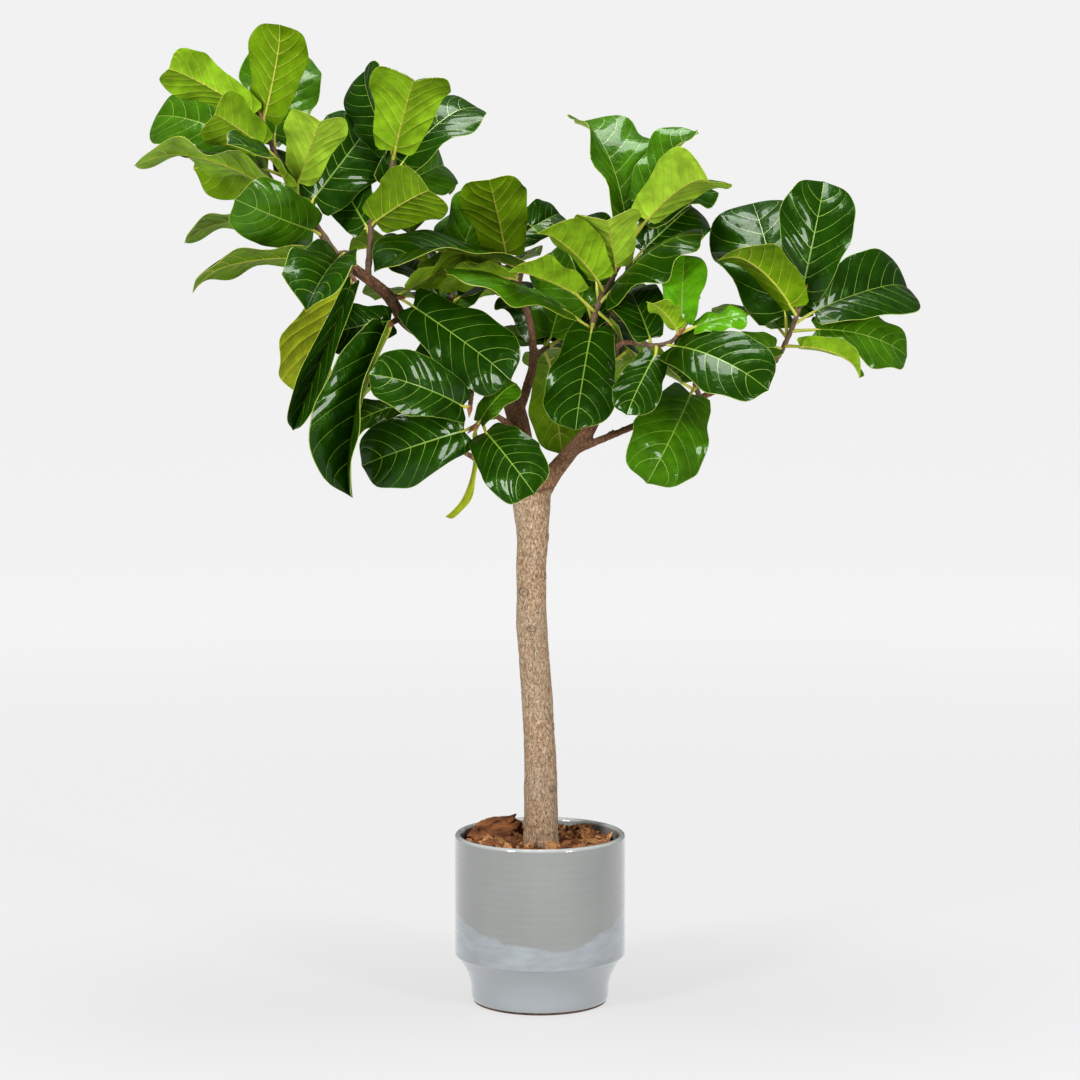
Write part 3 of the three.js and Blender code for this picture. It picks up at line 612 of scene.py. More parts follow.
def bark_relief(at):
    """How far the bark stands out at a point in metres, in metres, and how strongly it is marked there."""
    level = max(0.0, min(1.0, (at.z - SMOOTH_FROM) / SMOOTH_OVER))
    upright = Vector((at.x * 160, at.y * 160, at.z * 22))
    ridges = abs(noise.noise(upright)) + 0.5 * abs(noise.noise(upright * 2.3))
    plates = noise.noise(Vector((at.x * 70, at.y * 70, at.z * 45)))
    swell = noise.noise(at * 14)
    relief = (1 - 0.6 * level) * (1.5 * (0.3 - ridges) + 0.6 * plates) + (1.6 - 1.1 * level) * swell
    rings = exp(-((sin(at.z * 95 + 2 * noise.noise(at * 9)) / 0.16) ** 2))
    relief -= 0.5 * rings * level
    crack = RING_CRACK + 0.004 * sin(at.x * 60)
    mark = exp(-(((at.z - crack) / CRACK_HALF) ** 2))
    relief -= 1.5 * mark
    for height, side, wide, tall, raised in SCARS:
        if at.y < 0:
            away = ((at.x / MM - side) / wide) ** 2 + ((at.z / MM - height) / tall) ** 2
            relief += raised * (exp(-away) - 0.9 * exp(-6 * away))
            ring = exp(-(((sqrt(away) - 1) / 0.3) ** 2))
            mark = max(mark, 0.7 * ring, exp(-9 * away))
    return relief * MM, mark


skin.update()


def read_vectors(items, key):
    """A vector of each vertex or normal, as rows."""
    values = np.empty(len(items) * 3, dtype=np.float32)
    items.foreach_get(key, values)
    return values.reshape(-1, 3)


normals, places = read_vectors(skin.vertex_normals, "vector"), read_vectors(skin.vertices, "co")
reliefs, marks = np.array([bark_relief(Vector(place)) for place in places]).T
skin.attributes.new("mark", "FLOAT", "POINT").data.foreach_set("value", marks.astype(np.float32))
foot = np.clip((places[:, 2] / MM - SOIL_TOP - 2) / 10, 0, 1)
places += normals * (reliefs * foot)[:, None]
places[:, 2] = np.maximum(places[:, 2], (SOIL_TOP + GAP) * MM)
skin.vertices.foreach_set("co", places.ravel())
skin.update()
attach(wood, "root")
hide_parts(*LIMBS)

# Foliage
# Nineteen shoots carry the leaves. Each leaf is a leathery fiddle-shaped blade 230 to 390 mm long on a short
# green stalk, glossy dark green above and paler and matt below, with a pale midrib and arched side veins.
LEAF_THICKNESS = 0.012
STALK = 42
STALK_RADIUS = 4
# Each mass: its stem's points [x, y, z, radius], its leaves, and how many more grow behind. A leaf is its
# place on the stem, direction, lean, length and roll, then its stalk, fold and breadth where they are set.
MASSES = {
    "foliage_left_top": (
        [[-466, 0, 1742, 9], [-538, 4, 1850, 8], [-598, 16, 1955, 7], [-632, 18, 2045, 5]],
        [[1, 12, 10, 220, -58, 14, 30], [0.35, -74, 12, 330, 12, 70, 15],
         [0.14, -66, 30, 235, -90, 30, 10], [1, -60, 12, 255, 98, 34, 50, 0.8],
         [0.43, 24, 45, 225, -34, 36, 38], [0.2, -97, 8, 225, 20, 84, 12],
         [0.3, 36, -35, 265, 66, 40, 12], [0.74, 4, -38, 270, 15, 40, 8],
         [0.66, -72, -18, 250, -70, 80, 15], [0.42, -49, 32, 240, -60, 40, 20, 0.7],
         [0.56, -88, -24, 240, 70, 60, 15], [0.7, -54, 45, 190, 60, 50, 25]], 5),
    "foliage_left_side": (
        [[-446, -8, 1736, 7], [-444, -42, 1752, 6.5], [-486, -64, 1744, 5]],
        [[1, -99, 8, 280, 20, 34, 16], [0.5, -150, 52, 265, 7, 44, 50]], 0),
    "foliage_left_second": (
        [[-396, 4, 1696, 8], [-391, 22, 1760, 7.5], [-384, 32, 1835, 7], [-350, 40, 1905, 6.5],
         [-334, 40, 1985, 5]],
        [[0.42, 60, 52, 250, -48, 16, 25], [0.93, 18, 45, 262, -15, 24, 35],
         [0.95, -34, -42, 215, -80, 30, 28], [0.8, 50, -25, 250, 25, 40, 15, 0.85],
         [0.62, 62, -42, 195, 60, 30, 35], [0.33, -32, -42, 200, -45, 36, 4]], 3),
    "foliage_left_hanging": (
        [[-436, 0, 1716, 7], [-434, -34, 1704, 6.5], [-426, -62, 1696, 5]],
        [[1, -158, 5, 355, -78, 20, 60, 0.45], [0.35, -170, -42, 350, -49, 26, 55]], 0),
    "foliage_left_inner": (
        [[-338, -4, 1640, 7], [-334, -40, 1652, 6], [-322, -64, 1652, 5]],
        [[1, 132, 6, 280, 58, 40, 12], [0.5, 66, -38, 185, -40, 30, 15]], 0),
    "foliage_left_low": (
        [[-318, 0, 1600, 7.5], [-330, -46, 1598, 7], [-338, -92, 1592, 5]],
        [[1, -166, 8, 385, -33, 20, 75], [0.25, -101, 16, 155, -72, 20, 10]], 0),
    "foliage_front": (
        [[-140, 0, 1500, 7.5], [-152, -62, 1470, 7], [-156, -128, 1432, 6], [-158, -165, 1408, 5]],
        [[1, -68, 20, 232, -72, 20, 20]], 0),
    "foliage_low_front": (
        [[-98, -54, 1380, 7], [-128, -84, 1376, 6.5], [-146, -112, 1362, 5]],
        [[0.62, 137, 50, 236, 40, 50, 5], [1, -108, 18, 245, -60, 30, 13],
         [0.8, -164, -15, 212, 135, 30, 20, 0.5], [0.95, 42, 10, 120, 8, 12, 10]], 0),
    "foliage_low_left": (
        [[-248, -6, 1380, 5.5], [-282, 0, 1412, 5.5], [-322, 8, 1436, 5]],
        [[1, -76, -35, 190, -20, 30, 10], [0.45, -112, 10, 175, -30, 22, 8]], 2),
    "foliage_middle": (
        [[-54, 124, 1660, 7], [-46, 90, 1690, 6], [-40, 52, 1712, 5]],
        [[1, -84, 14, 352, -8, 20, 23], [0.6, -95, -12, 185, 30, 60, 10],
         [0.4, -86, 30, 180, 30, 30, 10]], 0),
    "foliage_middle_back": (
        [[-58, 136, 1668, 7], [-70, 164, 1710, 6.5], [-84, 188, 1752, 5]],
        [[0.65, -12, 42, 245, 16, 20, 20], [0.5, -48, -30, 225, -60, 40, 10],
         [1, 60, -50, 150, 60, 30, 30]], 2),
    "foliage_right": (
        [[131, -12, 1524, 8.5], [120, -18, 1580, 8], [138, -18, 1645, 7], [164, -12, 1688, 6],
         [178, -10, 1716, 5]],
        [[0.3, -170, 32, 260, -15, 24, 12], [0.23, -82, 8, 300, -15, 80, 13],
         [0.88, -12, 60, 235, 10, 20, 25], [0.58, -48, 20, 230, 38, 36, 36],
         [0.3, -34, -36, 225, -45, 40, 20], [0.45, 52, 18, 265, 28, 34, 0],
         [0.38, -68, 36, 200, 12, 76, 30], [0.4, 150, 10, 200, 30]], 2),
    "foliage_right_top": (
        [[202, 80, 1698, 7], [212, 82, 1755, 6.5], [212, 80, 1812, 5]],
        [[0.7, 54, 52, 272, -32, 76, 38], [0.6, -22, -28, 300, 2, 60, 35], [1, 36, -15, 215, 12, 60, 45],
         [0.1, 50, -38, 215, 55, 60, 20]], 2),
    "foliage_right_front": (
        [[222, -107, 1550, 6], [262, -136, 1546, 5.5], [296, -156, 1556, 5], [312, -166, 1574, 4]],
        [[0.52, 112, 40, 264, 55, 22, 10], [0.35, -152, 32, 168, -30, 26, 5],
         [1, 4, -28, 175, 0, 30, 15, 0.8], [0.22, -22, -50, 190, -20, 20, 25],
         [1, -42, 40, 110, 10, 14, 25], [1, 76, -15, 120, 50, 40, 10]], 0),
    "foliage_right_low": (
        [[368, 0, 1416, 6.5], [362, -24, 1434, 6], [357, -44, 1446, 5]],
        [[1, -151, 42, 275, -40, 34, 5]], 2),
    "foliage_far_right": (
        [[542, 23, 1499, 6.5], [566, 30, 1540, 6], [590, 22, 1600, 5.5], [604, 20, 1642, 4.5]],
        [[0.62, 12, -12, 272, 45, 66, 18], [0.58, 75, -30, 285, 50, 60, 30],
         [0.7, -52, 26, 240, 18, 24, 38], [0.4, -14, -38, 340, -20, 60, 15],
         [0.5, 106, -8, 225, 45, 60, 10], [0.3, 100, 22, 180, -50, 40, 40, 0.7],
         [0.25, -100, 30, 150, -60, 20, 40]], 3),
    "foliage_inner": (
        [[-18, 50, 1496, 6.5], [6, 84, 1522, 6], [22, 112, 1530, 5]],
        [[0.6, 172, -16, 225, -25], [0.9, 60, -30, 230, 20]], 4),
    "foliage_back_left": (
        [[-230, 0, 1548, 7], [-216, 90, 1592, 6.5], [-208, 160, 1640, 6], [-202, 220, 1700, 5]],
        [], 8),
    "foliage_back_right": (
        [[138, -8, 1450, 7], [164, 80, 1480, 6.5], [186, 160, 1530, 6], [200, 230, 1600, 5]],
        [], 8),
}


def seeded(seed):
    """Small repeatable random numbers between 0 and 1."""
    state = seed
    while True:
        state = state * 16807 % 2147483647
        yield state / 2147483647


# Half of a blade's outline, from its foot to its tip: how far along, how far out, and where the midrib is.
OUTLINE = [
    [0, 0.012, 0], [-0.05, 0.18, 0.04], [0.18, 0.26, 0.17], [0.62, 0.36, 0.58], [0.92, 0.27, 0.86], [1, 0, 1],
]


def traits_of(random):
    """What sets one leaf apart from the next."""
    draw = lambda: next(random)
    return {
        "broad": 0.9 + 0.16 * draw(), "arch": 0.03 + 0.1 * draw(), "fold": 0.3 + 0.4 * draw(),
        "cup": 0.3 + 0.9 * draw(), "ripple": 0.02 + 0.06 * draw(), "phase": 2 * pi * draw(),
        "twist": 0.5 * (draw() - 0.5), "curl": 0.12 * draw(),
    }


def frame_of(clock, lean, roll):
    """A leaf's own directions: along it, out of its upper face, and to its right."""
    turn, tilt, spin = radians(clock), radians(lean), radians(roll)
    along = np.array([sin(turn) * cos(tilt), -sin(tilt), cos(turn) * cos(tilt)])
    face = unit(np.array([0, 0, 1.0]) - along[2] * along)
    face = face * cos(spin) + np.cross(along, face) * sin(spin)
    return along, face, np.cross(along, face)


def blade_points(leaf, u, out, lift=0.0):
    """Points of the blade: u along it and out to its right, as shares of its length."""
    traits, length = leaf["traits"], leaf["length"]
    reach = np.abs(out)
    past = np.maximum(0, u - 0.7) / 0.3
    rise = 4 * traits["arch"] * u * (1 - u) - traits["curl"] * past * past
    slope = leaf["fold"] - traits["cup"] * reach
    ripples = np.sin(13 * u + traits["phase"] + np.where(out > 0, 2.0, 0.0))
    wave = 7 * traits["ripple"] * reach * reach * ripples
    side, thick = np.sign(out), lift / length
    mitre = np.where(side == 0, 1 / max(0.4, cos(leaf["fold"])), np.cos(slope))
    aside = out * np.cos(slope) - side * thick * np.sin(slope)
    height = reach * np.sin(slope) + wave + thick * mitre
    turn = traits["twist"] * (u - 0.3)
    across = aside * np.cos(turn) - height * np.sin(turn)
    above = aside * np.sin(turn) + height * np.cos(turn) + rise
    along, face, right = leaf["frame"]
    return (
        leaf["foot"] + np.multiply.outer(length * u, along)
        + np.multiply.outer(length * across, right) + np.multiply.outer(length * above, face)
    )


# Where a row is this many times as wide as the one before it, its right half is split the other way.
FLARE = 3


def slab_shell(rows):
    """A closed slab's points and faces, over rows of (upper, lower) points: three across, one at the tip."""
    points, faces, places = [], [], []
    widths = [np.linalg.norm(row[-1][0] - row[0][0]) for row in rows]
    for row in rows:
        places.append([len(points) + 2 * i for i in range(len(row))])
        for upper, lower in row:
            points += [upper, lower]

    def patch(*corners):
        faces.append(corners)
        faces.append(tuple(c + 1 for c in reversed(corners)))

    def wall(a, b):
        faces.append((a, a + 1, b + 1))
        faces.append((a, b + 1, b))

    for k, (near, far) in enumerate(zip(places, places[1:])):
        for s in (0, 1):
            if len(far) == 1:
                patch(near[s], near[s + 1], far[0])
            elif s and widths[k + 1] > FLARE * widths[k]:
                patch(near[1], near[2], far[1])
                patch(near[2], far[2], far[1])
            else:
                patch(near[s], near[s + 1], far[s + 1])
                patch(near[s], far[s + 1], far[s])
        wall(near[2], far[-1])
        wall(far[0], near[0])
    wall(places[0][0], places[0][1])
    wall(places[0][1], places[0][2])
    if len(places[-1]) == 3:
        wall(places[-1][1], places[-1][0])
        wall(places[-1][2], places[-1][1])
    return points, faces


def blade_rows(leaf, grow=0.0):
    """The rows of the blade as a thin slab; grow is added all round."""
    half = 0.5 * LEAF_THICKNESS * leaf["length"] + grow
    wide = leaf["traits"]["broad"] * (1 + 2 * grow / leaf["length"])
    spots = [
        [(u, 0)] if out == 0 else [(u, -out * wide), (rib, 0), (u, out * wide)]
        for u, out, rib in OUTLINE
    ]
    flat = np.array([spot for row in spots for spot in row], dtype=float)
    upper = blade_points(leaf, flat[:, 0], flat[:, 1], half)
    lower = blade_points(leaf, flat[:, 0], flat[:, 1], -half)
    pairs = iter(zip(upper, lower))
    return [[next(pairs) for _ in row] for row in spots]


def stalk_row(leaf):
    """The row at the stalk's foot, inside the stem."""
    _, face, right = leaf["frame"]
    return [
        [leaf["root"] + side * STALK_RADIUS * right + lift * 0.5 * STALK_RADIUS * face for lift in (1, -1)]
        for side in (-1, 0, 1)
    ]


# Turns (clock, lean, roll) in degrees that a leaf tries, nearest first, to find a clear place
TURN_STEP, ROLL_STEP = 6, 9
TURNS = [(0, 0, 0)] + [
    (TURN_STEP * clock * step, TURN_STEP * lean * step, ROLL_STEP * roll * step)
    for step in range(1, 5)
    for clock, lean, roll in (
        (0, 0, 1), (0, 0, -1), (0, 1, 0), (0, -1, 0), (1, 0, 0), (-1, 0, 0),
        (0, 1, 1), (0, -1, -1), (0, 1, -1), (0, -1, 1), (1, 1, 0), (-1, -1, 0),
    )
]
standing = []


def shell_tree(points, faces):
    """What a test for crossings needs of a shell: its tree, its lowest corner and its highest."""
    array = np.array(points)
    return BVHTree.FromPolygons([tuple(p) for p in points], faces), array.min(0), array.max(0)


def is_clear(shell, spared):
    """Whether a shell crosses nothing that stands already, apart from what one owner has."""
    tree, low, high = shell
    for owner, (other, other_low, other_high) in standing:
        if owner == spared or (low > other_high).any() or (other_low > high).any():
            continue
        if tree.overlap(other):
            return False
    return True


def settle(mass, stem, spec, random, freedom=1):
    """A leaf at its set place on a stem, turned where needed, or None where no turn leaves it clear."""
    unset = (STALK, None, 1)[len(spec) - 5:]
    place, clock, lean, length, roll, stalk, fold, breadth = [*spec, *unset]
    traits = traits_of(random)
    fold = traits["fold"] if fold is None else radians(fold)
    traits["broad"] *= breadth
    root = np.array(point_on(stem, place)[:3])
    onward = unit(root - np.array(point_on(stem, max(0, place - 0.05))[:3]))
    for more in TURNS:
        axes = frame_of(clock + freedom * more[0], lean + freedom * more[1], roll + more[2])
        way = unit(axes[0] + 0.35 * onward)
        leaf = {
            "frame": axes, "traits": traits, "length": length, "fold": fold,
            "root": root, "foot": root + way * stalk,
        }
        if not is_clear(shell_tree(*slab_shell(blade_rows(leaf, 2 * GAP))), None):
            continue
        rows = blade_rows(leaf)
        stalk_shell = shell_tree(*slab_shell([stalk_row(leaf), rows[0]]))
        if not is_clear(stalk_shell, mass):
            continue
        standing.append((mass + " blades", shell_tree(*slab_shell(rows))))
        standing.append((mass, stalk_shell))
        return leaf
    return None


GOLDEN_ANGLE = 137.5


def leaves_behind(count, random):
    """The leaves that the front doesn't show, by the golden angle round the far side of a stem."""
    specs = []
    for i in range(count):
        place = 0.3 + 0.65 * (i + 0.5) / count
        clock = (i * GOLDEN_ANGLE + 40) % 240 - 120
        lean = -45 - 35 * next(random)
        length = 215 + 50 * next(random)
        specs.append([place, clock, lean, length, 30 * (next(random) - 0.5), 50])
    return specs


for path in LIMBS.values():
    sides, steps = (12, 20) if path is LIMBS["trunk"] else (8, 2 * len(path) - 2)
    standing.append(("limbs", shell_tree(*limb_shell(path, sides, steps, GAP))))
for name, (stem, _, _) in MASSES.items():
    standing.append((name, shell_tree(*limb_shell(stem, 5, len(stem)))))
# The leaves that the front shows settle first, and those behind then turn further to find room.
BEHIND_FREEDOM = 2.5
grown = {name: [] for name in MASSES}
for order, (name, (stem, specs, _)) in enumerate(MASSES.items()):
    random = seeded(1000 + 37 * order)
    grown[name] += [settle(name, stem, spec, random) for spec in specs]
for order, (name, (stem, _, behind)) in enumerate(MASSES.items()):
    random = seeded(5000 + 91 * order)
    specs = leaves_behind(behind, random)
    grown[name] += [settle(name, stem, spec, random, BEHIND_FREEDOM) for spec in specs]

# Leaf skins: each tone is a plain colour with faint mottling, dealt out leaf by leaf.
UPPER_TONES = {"deep": (0.007, 0.033, 0.0002), "mid": (0.032, 0.102, 0.0015), "young": (0.07, 0.24, 0.002)}
UNDER_TONES = {
    "pale": (0.19, 0.345, 0.010), "mid": (0.115, 0.215, 0.003),
    # The last under tone is painted light: a lighter underside that stands in for sun shining through the
    # leaf.
    "yellow": (0.30, 0.36, 0.012), "painted_sunlit": (0.31, 0.50, 0.03),
}


def leaf_finish(name, color, roughness, coat):
    """A leaf's skin: faintly mottled, with a fine net of veinlets raised on it."""
    finish = Finish(
        name, color, roughness, Coat_Weight=coat, Coat_Roughness=0.05,
        Specular_Tint=(0.4, 1, 0.15, 1), Specular_IOR_Level=0.14,
    )
    darker, lighter = tuple(0.72 * c for c in color), tuple(min(1, 1.3 * c) for c in color)
    finish.to_shader("Base Color", finish.ramp(finish.noise(26, detail=5), [(0.32, darker), (0.68, lighter)]))
    finish.bump(finish.noise(38, detail=2), 0.0035)
    cells = {"Scale": 150, "Vector": finish.stretched((1, 1, 1))}
    veinlets = finish.node("TexVoronoi", cells, feature="DISTANCE_TO_EDGE").outputs["Distance"]
    finish.bump(veinlets, 0.0008, 0.5)
    return finish.material


upper_skins = [leaf_finish("leaf_upper_" + tone, color, 0.32, 0.24) for tone, color in UPPER_TONES.items()]
under_skins = [leaf_finish("leaf_under_" + tone, color, 0.55, 0.0) for tone, color in UNDER_TONES.items()]
rib = mottled("leaf_ribs", (0.42, 0.46, 0.04), 0.5, (30,), 0.3, (0.36, 0.42, 0.03), 0.7, (0.52, 0.48, 0.06))
upper_vein = Finish("leaf_upper_veins", (0.17, 0.29, 0.025), 0.4, Coat_Weight=0.2, Coat_Roughness=0.1)
LEAF_MATERIALS = [*upper_skins, *under_skins, upper_vein.material, rib.material]
VEIN_SLOT = len(LEAF_MATERIALS) - 2

# The fine blade, in millimetres: its thickness, the swelling between veins, the midrib's half width at the
# foot and what it loses to the tip. As shares of its length: where the side veins leave the midrib, how far
# they sweep forward and half a vein. The columns are shares of the way from the midrib to the edge.
BLADE = 0.9
QUILT = 1.5
RIB_HALF, RIB_TAPER = 2.3, 1.5
VEINS = [0.04, 0.13, 0.25, 0.38, 0.52, 0.66, 0.80]
VEIN_SWEEP = 0.25
VEIN_HALF = 0.0034
COLUMNS = [0.0, 0.13, 0.29, 0.45, 0.61, 0.77, 0.9, 0.985]


def grid_rows():
    """The rows from foot to tip: where each meets the midrib, its half step to a vein, and its relief."""
    rows = [(0, 0, 0), (0.009, 0, 0.5), (0.018, 0, 0.5)]
    for k, start in enumerate(VEINS):
        rows += [(start, -VEIN_HALF, 0), (start, 0, -1), (start, VEIN_HALF, 0)]
        onward = VEINS[k + 1] if k + 1 < len(VEINS) else 1
        rows += [(start + share * (onward - start), 0, sin(pi * share)) for share in (0.25, 0.5, 0.75)]
    return np.array(rows + [(0.985, 0, 0), (1, 0, 0)])


ROWS = grid_rows()
DENSE = np.array([point_on(OUTLINE[:-1] + [[1, 0.008, 1]], t) for t in np.linspace(0, 1, 400)])


def fine_blade(leaf):
    """A blade's points, faces and kinds: 0 upper, 1 under, 2 upper vein or rim, 3 under vein or edge."""
    length, broad = leaf["length"], leaf["traits"]["broad"]
    middle, step, relief = [column[:, None] for column in ROWS.T]
    rib_half = RIB_HALF - RIB_TAPER * middle
    widest = np.interp(middle, DENSE[:, 2], DENSE[:, 1]) * broad * length
    rib_side = np.minimum(0.12, rib_half / widest)
    half = np.concatenate([rib_side + (1 - rib_side) * c for c in COLUMNS] + [np.ones_like(rib_side)], 1)
    s = np.concatenate([-half[:, ::-1], np.zeros_like(middle), half], 1)
    reach = np.abs(s)
    taper = np.minimum(1, 6 * middle) * np.minimum(1, 3 * (1 - middle))
    vein_step = step * (1 - 0.8 * reach) * np.minimum(1, 0.25 + 8 * middle)
    at = np.clip(middle + VEIN_SWEEP * taper * reach ** 1.4 + vein_step, 0, 1)
    edge_u, edge_out = [np.interp(at, DENSE[:, 2], DENSE[:, k]) for k in (0, 1)]
    waist = 1 - 0.05 * np.exp(-(((edge_u - 0.35) / 0.12) ** 2))
    u = at * (1 - reach) + edge_u * reach
    phase = leaf["traits"]["phase"] + np.where(s > 0, 1.7, 0.0)
    uneven = 1 + reach * (0.035 * np.sin(9 * at + phase) + 0.02 * np.sin(21 * at + 2.3 * phase))
    out = s * edge_out * waist * broad * uneven
    swell = np.clip(6 * (reach - rib_side), 0, 1) * np.clip(6 * (1 - reach), 0, 1)
    bulge = QUILT * np.maximum(relief, 0) * swell * (length / 280)
    keel = 0.9 * (relief < 0) * (1 - 0.8 * reach)
    keel = np.where(reach == 0, rib_half, keel)
    upper = blade_points(leaf, u.ravel(), out.ravel(), bulge.ravel() + BLADE / 2)
    lower = blade_points(leaf, u.ravel(), out.ravel(), (bulge - keel).ravel() - BLADE / 2)
    count, width = s.shape
    total = count * width
    i, j = [g.ravel() for g in np.meshgrid(np.arange(count - 1), np.arange(width - 1), indexing="ij")]
    a = i * width + j
    tops = np.stack([a, a + 1, a + width + 1, a + width], 1)
    lows = np.stack([a, a + width, a + width + 1, a + 1], 1) + total
    is_vein = (ROWS[:-1, 1] < 0) | ((ROWS[:-1, 2] < 0) & (ROWS[1:, 1] > 0))
    centre = len(COLUMNS) + 1
    is_rib = (j == centre - 1) | (j == centre)
    veined = is_vein[i] & (j > 0) & (j < width - 2) | is_rib
    down, over, tip = np.arange(count - 1) * width, np.arange(width - 1), (count - 1) * width
    rims = (
        (down + width - 1, down + 2 * width - 1), (down + width, down),
        (over, over + 1), (over + 1 + tip, over + tip),
    )
    edges = np.concatenate([np.stack([p, p + total, q + total, q], 1) for p, q in rims])
    top_kinds = np.where(veined | (j == 0) | (j == width - 2), 2, 0)
    kinds = np.concatenate([top_kinds, np.where(veined, 3, 1), np.full(len(edges), 3)])
    return np.vstack([upper, lower]), np.vstack([tops, lows, edges]), kinds


def leaf_shells(leaf):
    """A leaf's blade and stalk, each with the kinds of its faces."""
    heel = blade_points(leaf, np.array([0.05]), np.array([0.0]), -1.6)[0]
    turn = leaf["root"] * 0.45 + leaf["foot"] * 0.55
    stops = [[*leaf["root"], 4.8], [*turn, 3.8], [*leaf["foot"], 3.4], [*heel, 2.2]]
    points, faces = limb_shell(stops, 8, 8)
    return [fine_blade(leaf), (np.array(points), faces, [3] * len(faces))]


# Leaves that stand out, by their upper and under tones: young ones, ones that turn yellow, and sunlit ones
# with painted light, mid green above and painted lighter beneath as if the sun shone through them
STAND_OUT = {
    (2, 0): {"foliage_right_front": (2, 4, 5)},
    (0, 2): {"foliage_left_hanging": (1,), "foliage_low_front": (1, 2)},
    (1, 3): {
        "foliage_left_top": (4,), "foliage_right_top": (0, 1), "foliage_right": (2, 4),
        "foliage_right_low": (0,),
    },
}


def tone_of(name, order, random):
    """Which upper and under tones a leaf gets."""
    draw = next(random)
    for tones, leaves in STAND_OUT.items():
        if order in leaves.get(name, ()):
            return tones
    return (0 if draw < 0.6 else 1), (0 if draw > 0.35 else 1)


for order, (name, leaves) in enumerate(grown.items()):
    random = seeded(300 + order)
    points, faces, slots = [], [], []
    for place, leaf in enumerate(leaves):
        upper, under = tone_of(name, place, random)
        if leaf is None:
            continue
        slot_of_kind = [upper, len(UPPER_TONES) + under, VEIN_SLOT, VEIN_SLOT + 1]
        for more_points, more_faces, kinds in leaf_shells(leaf):
            shift = len(points)
            points.extend(more_points)
            faces.extend([tuple(int(v) + shift for v in face) for face in more_faces])
            slots.extend(slot_of_kind[kind] for kind in kinds)
    if not faces:
        continue
    piece_name = "leaves_" + name.removeprefix("foliage_")
    leaves_piece = new_piece(piece_name, points, faces, LEAF_MATERIALS, slots)
    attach(leaves_piece, "root")
    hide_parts(name)

# Shoots
# Each stem is a woody shoot as thick as a finger at its foot, mottled brown, ringed by the scars of fallen
# leaves, and ends in a papery red-brown bud sheath.
shoot_bark = mottled(
    "shoot_bark", (0.10, 0.05, 0.025), 0.7, (70, 6), 0.3, (0.045, 0.022, 0.012), 0.7, (0.17, 0.10, 0.045),
)
shoot_bark.bump(shoot_bark.noise(180), 0.0012)
sheath_paper = mottled(
    "bud_sheaths", (0.24, 0.07, 0.03), 0.6, (120,), 0.3, (0.12, 0.03, 0.015), 0.7, (0.36, 0.14, 0.06),
)
# How far each ring of a bud sheath is past the tip, and its radius
SHEATH = ((-4, 5.2), (8, 6), (22, 3.6), (38, 0.7))
# Rings of leaf scars swell a shoot by this share of its thickness.
LEAF_SCAR = 0.09

shells, kinds = [], []
for stem, _, _ in MASSES.values():
    ringed = []
    for t in np.linspace(0, 1, 40):
        x, y, z, radius = point_on(stem, t)
        ringed.append([x, y, z, radius * (1 + LEAF_SCAR * sin(60 * t))])
    shell = limb_shell(ringed, 10, 78)
    shells.append(shell)
    kinds += [0] * len(shell[1])
    tip = np.array(point_on(stem, 1))
    onward = unit(tip[:3] - np.array(point_on(stem, 0.97)[:3]))
    sheath = [[*(tip[:3] + onward * far), girth] for far, girth in SHEATH]
    shell = limb_shell(sheath, 8, 12)
    shells.append(shell)
    kinds += [1] * len(shell[1])
shoot_materials = [shoot_bark.material, sheath_paper.material]
shoots = new_piece("shoots", *joined_shells(shells), shoot_materials, kinds)
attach(shoots, "root")
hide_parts(*MASSES)

# Setting
# A pale floor in a pale room, wide soft lamps from both sides and above, and the camera 8 m away, a little
# above the tree's middle.
plain = Finish("pale_floor", (0.12, 0.12, 0.12), 0.95, Emission_Color=(1, 1, 1, 1))
squares = [plain.math("POWER", plain.math("ABSOLUTE", plain.axis(name)), 2) for name in "XY"]
far_off = plain.math("SQRT", plain.math("ADD", *squares))
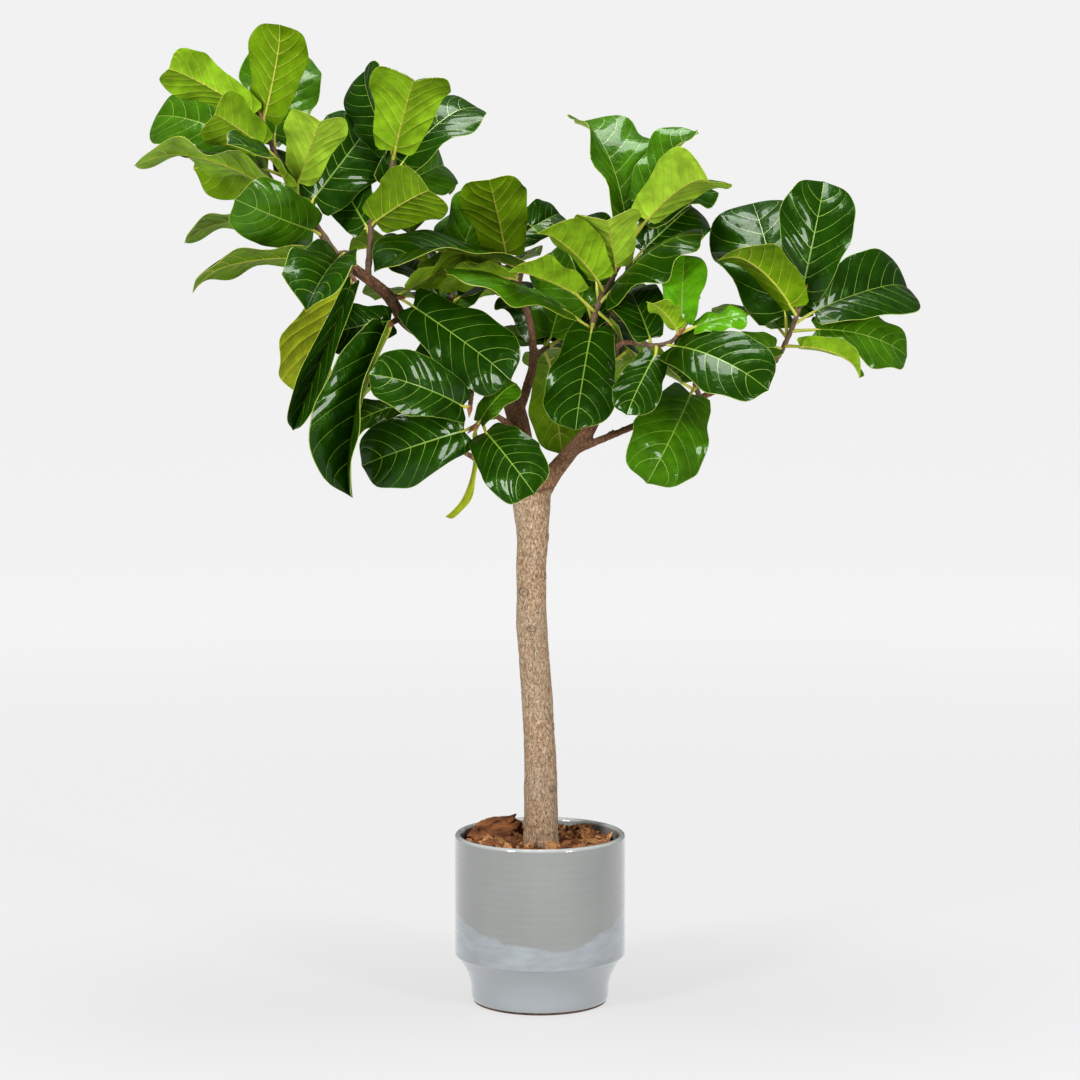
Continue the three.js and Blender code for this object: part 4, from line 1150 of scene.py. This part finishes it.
# The lamps' light falls off with distance, and the floor's own glow makes up for it.
plain.to_shader("Emission Strength", plain.between(far_off, 0.9, 6.5, 0.675, 0.852))
FLOOR_HALF = 60000
floor_points = [[x * FLOOR_HALF, y * FLOOR_HALF, -1] for x, y in ((-1, -1), (1, -1), (1, 1), (-1, 1))]
pale_floor = new_piece("pale_floor", floor_points, [(0, 1, 2, 3)], [plain.material])


def softbox(name, place, aim, size, watts):
    """A wide soft lamp at a place in metres that points at another."""
    lamp = bpy.data.lights.new(name, "AREA")
    lamp.shape = "RECTANGLE"
    lamp.size, lamp.size_y = size
    lamp.energy = watts
    holder = placed(name, lamp)
    holder.location = place
    holder.rotation_euler = (Vector(aim) - Vector(place)).to_track_quat("-Z", "Y").to_euler()


softbox("left_lamp", (-3.4, -3.8, 3.0), (0, 0, 1.2), (1.0, 1.9), 235)
softbox("right_lamp", (3.4, -4.0, 2.7), (0, 0, 1.1), (1.0, 1.9), 195)
softbox("top_lamp", (0, 0.2, 5.2), (0, 0, 1.0), (2.0, 2.0), 210)

# The room is pale to look at, and gives the scene a weak even light.
ROOM_SEEN, ROOM_LIGHT = 0.887, 0.15
world = bpy.data.worlds.new("pale_room")
world.use_nodes = True
room = world.node_tree.nodes["Background"]
seen = add_node(world.node_tree, "ShaderNodeLightPath", {}).outputs["Is Camera Ray"]
level = add_node(world.node_tree, "ShaderNodeMapRange", {
    "Value": seen, "To Min": ROOM_LIGHT, "To Max": ROOM_SEEN,
})
feed(world.node_tree, room.inputs["Strength"], level.outputs["Result"])
room.inputs["Color"].default_value = (1, 1, 1, 1)
scene = bpy.context.scene
scene.world = world
scene.view_settings.view_transform = "Standard"

CAMERA_DISTANCE, CAMERA_HEIGHT, CAMERA_TILT = 8.0, 2.013, 6.6
FOCAL_PIXELS, PHOTO_PIXELS, SENSOR = 3477, 1080, 36
camera_data = bpy.data.cameras.new("camera")
camera_data.sensor_width = SENSOR
camera_data.lens = FOCAL_PIXELS * SENSOR / PHOTO_PIXELS
camera_data.clip_end = 100
camera = placed("camera", camera_data)
camera.location = (0, -CAMERA_DISTANCE, CAMERA_HEIGHT)
camera.rotation_euler = (radians(90 - CAMERA_TILT), 0, 0)
bpy.context.scene.camera = camera
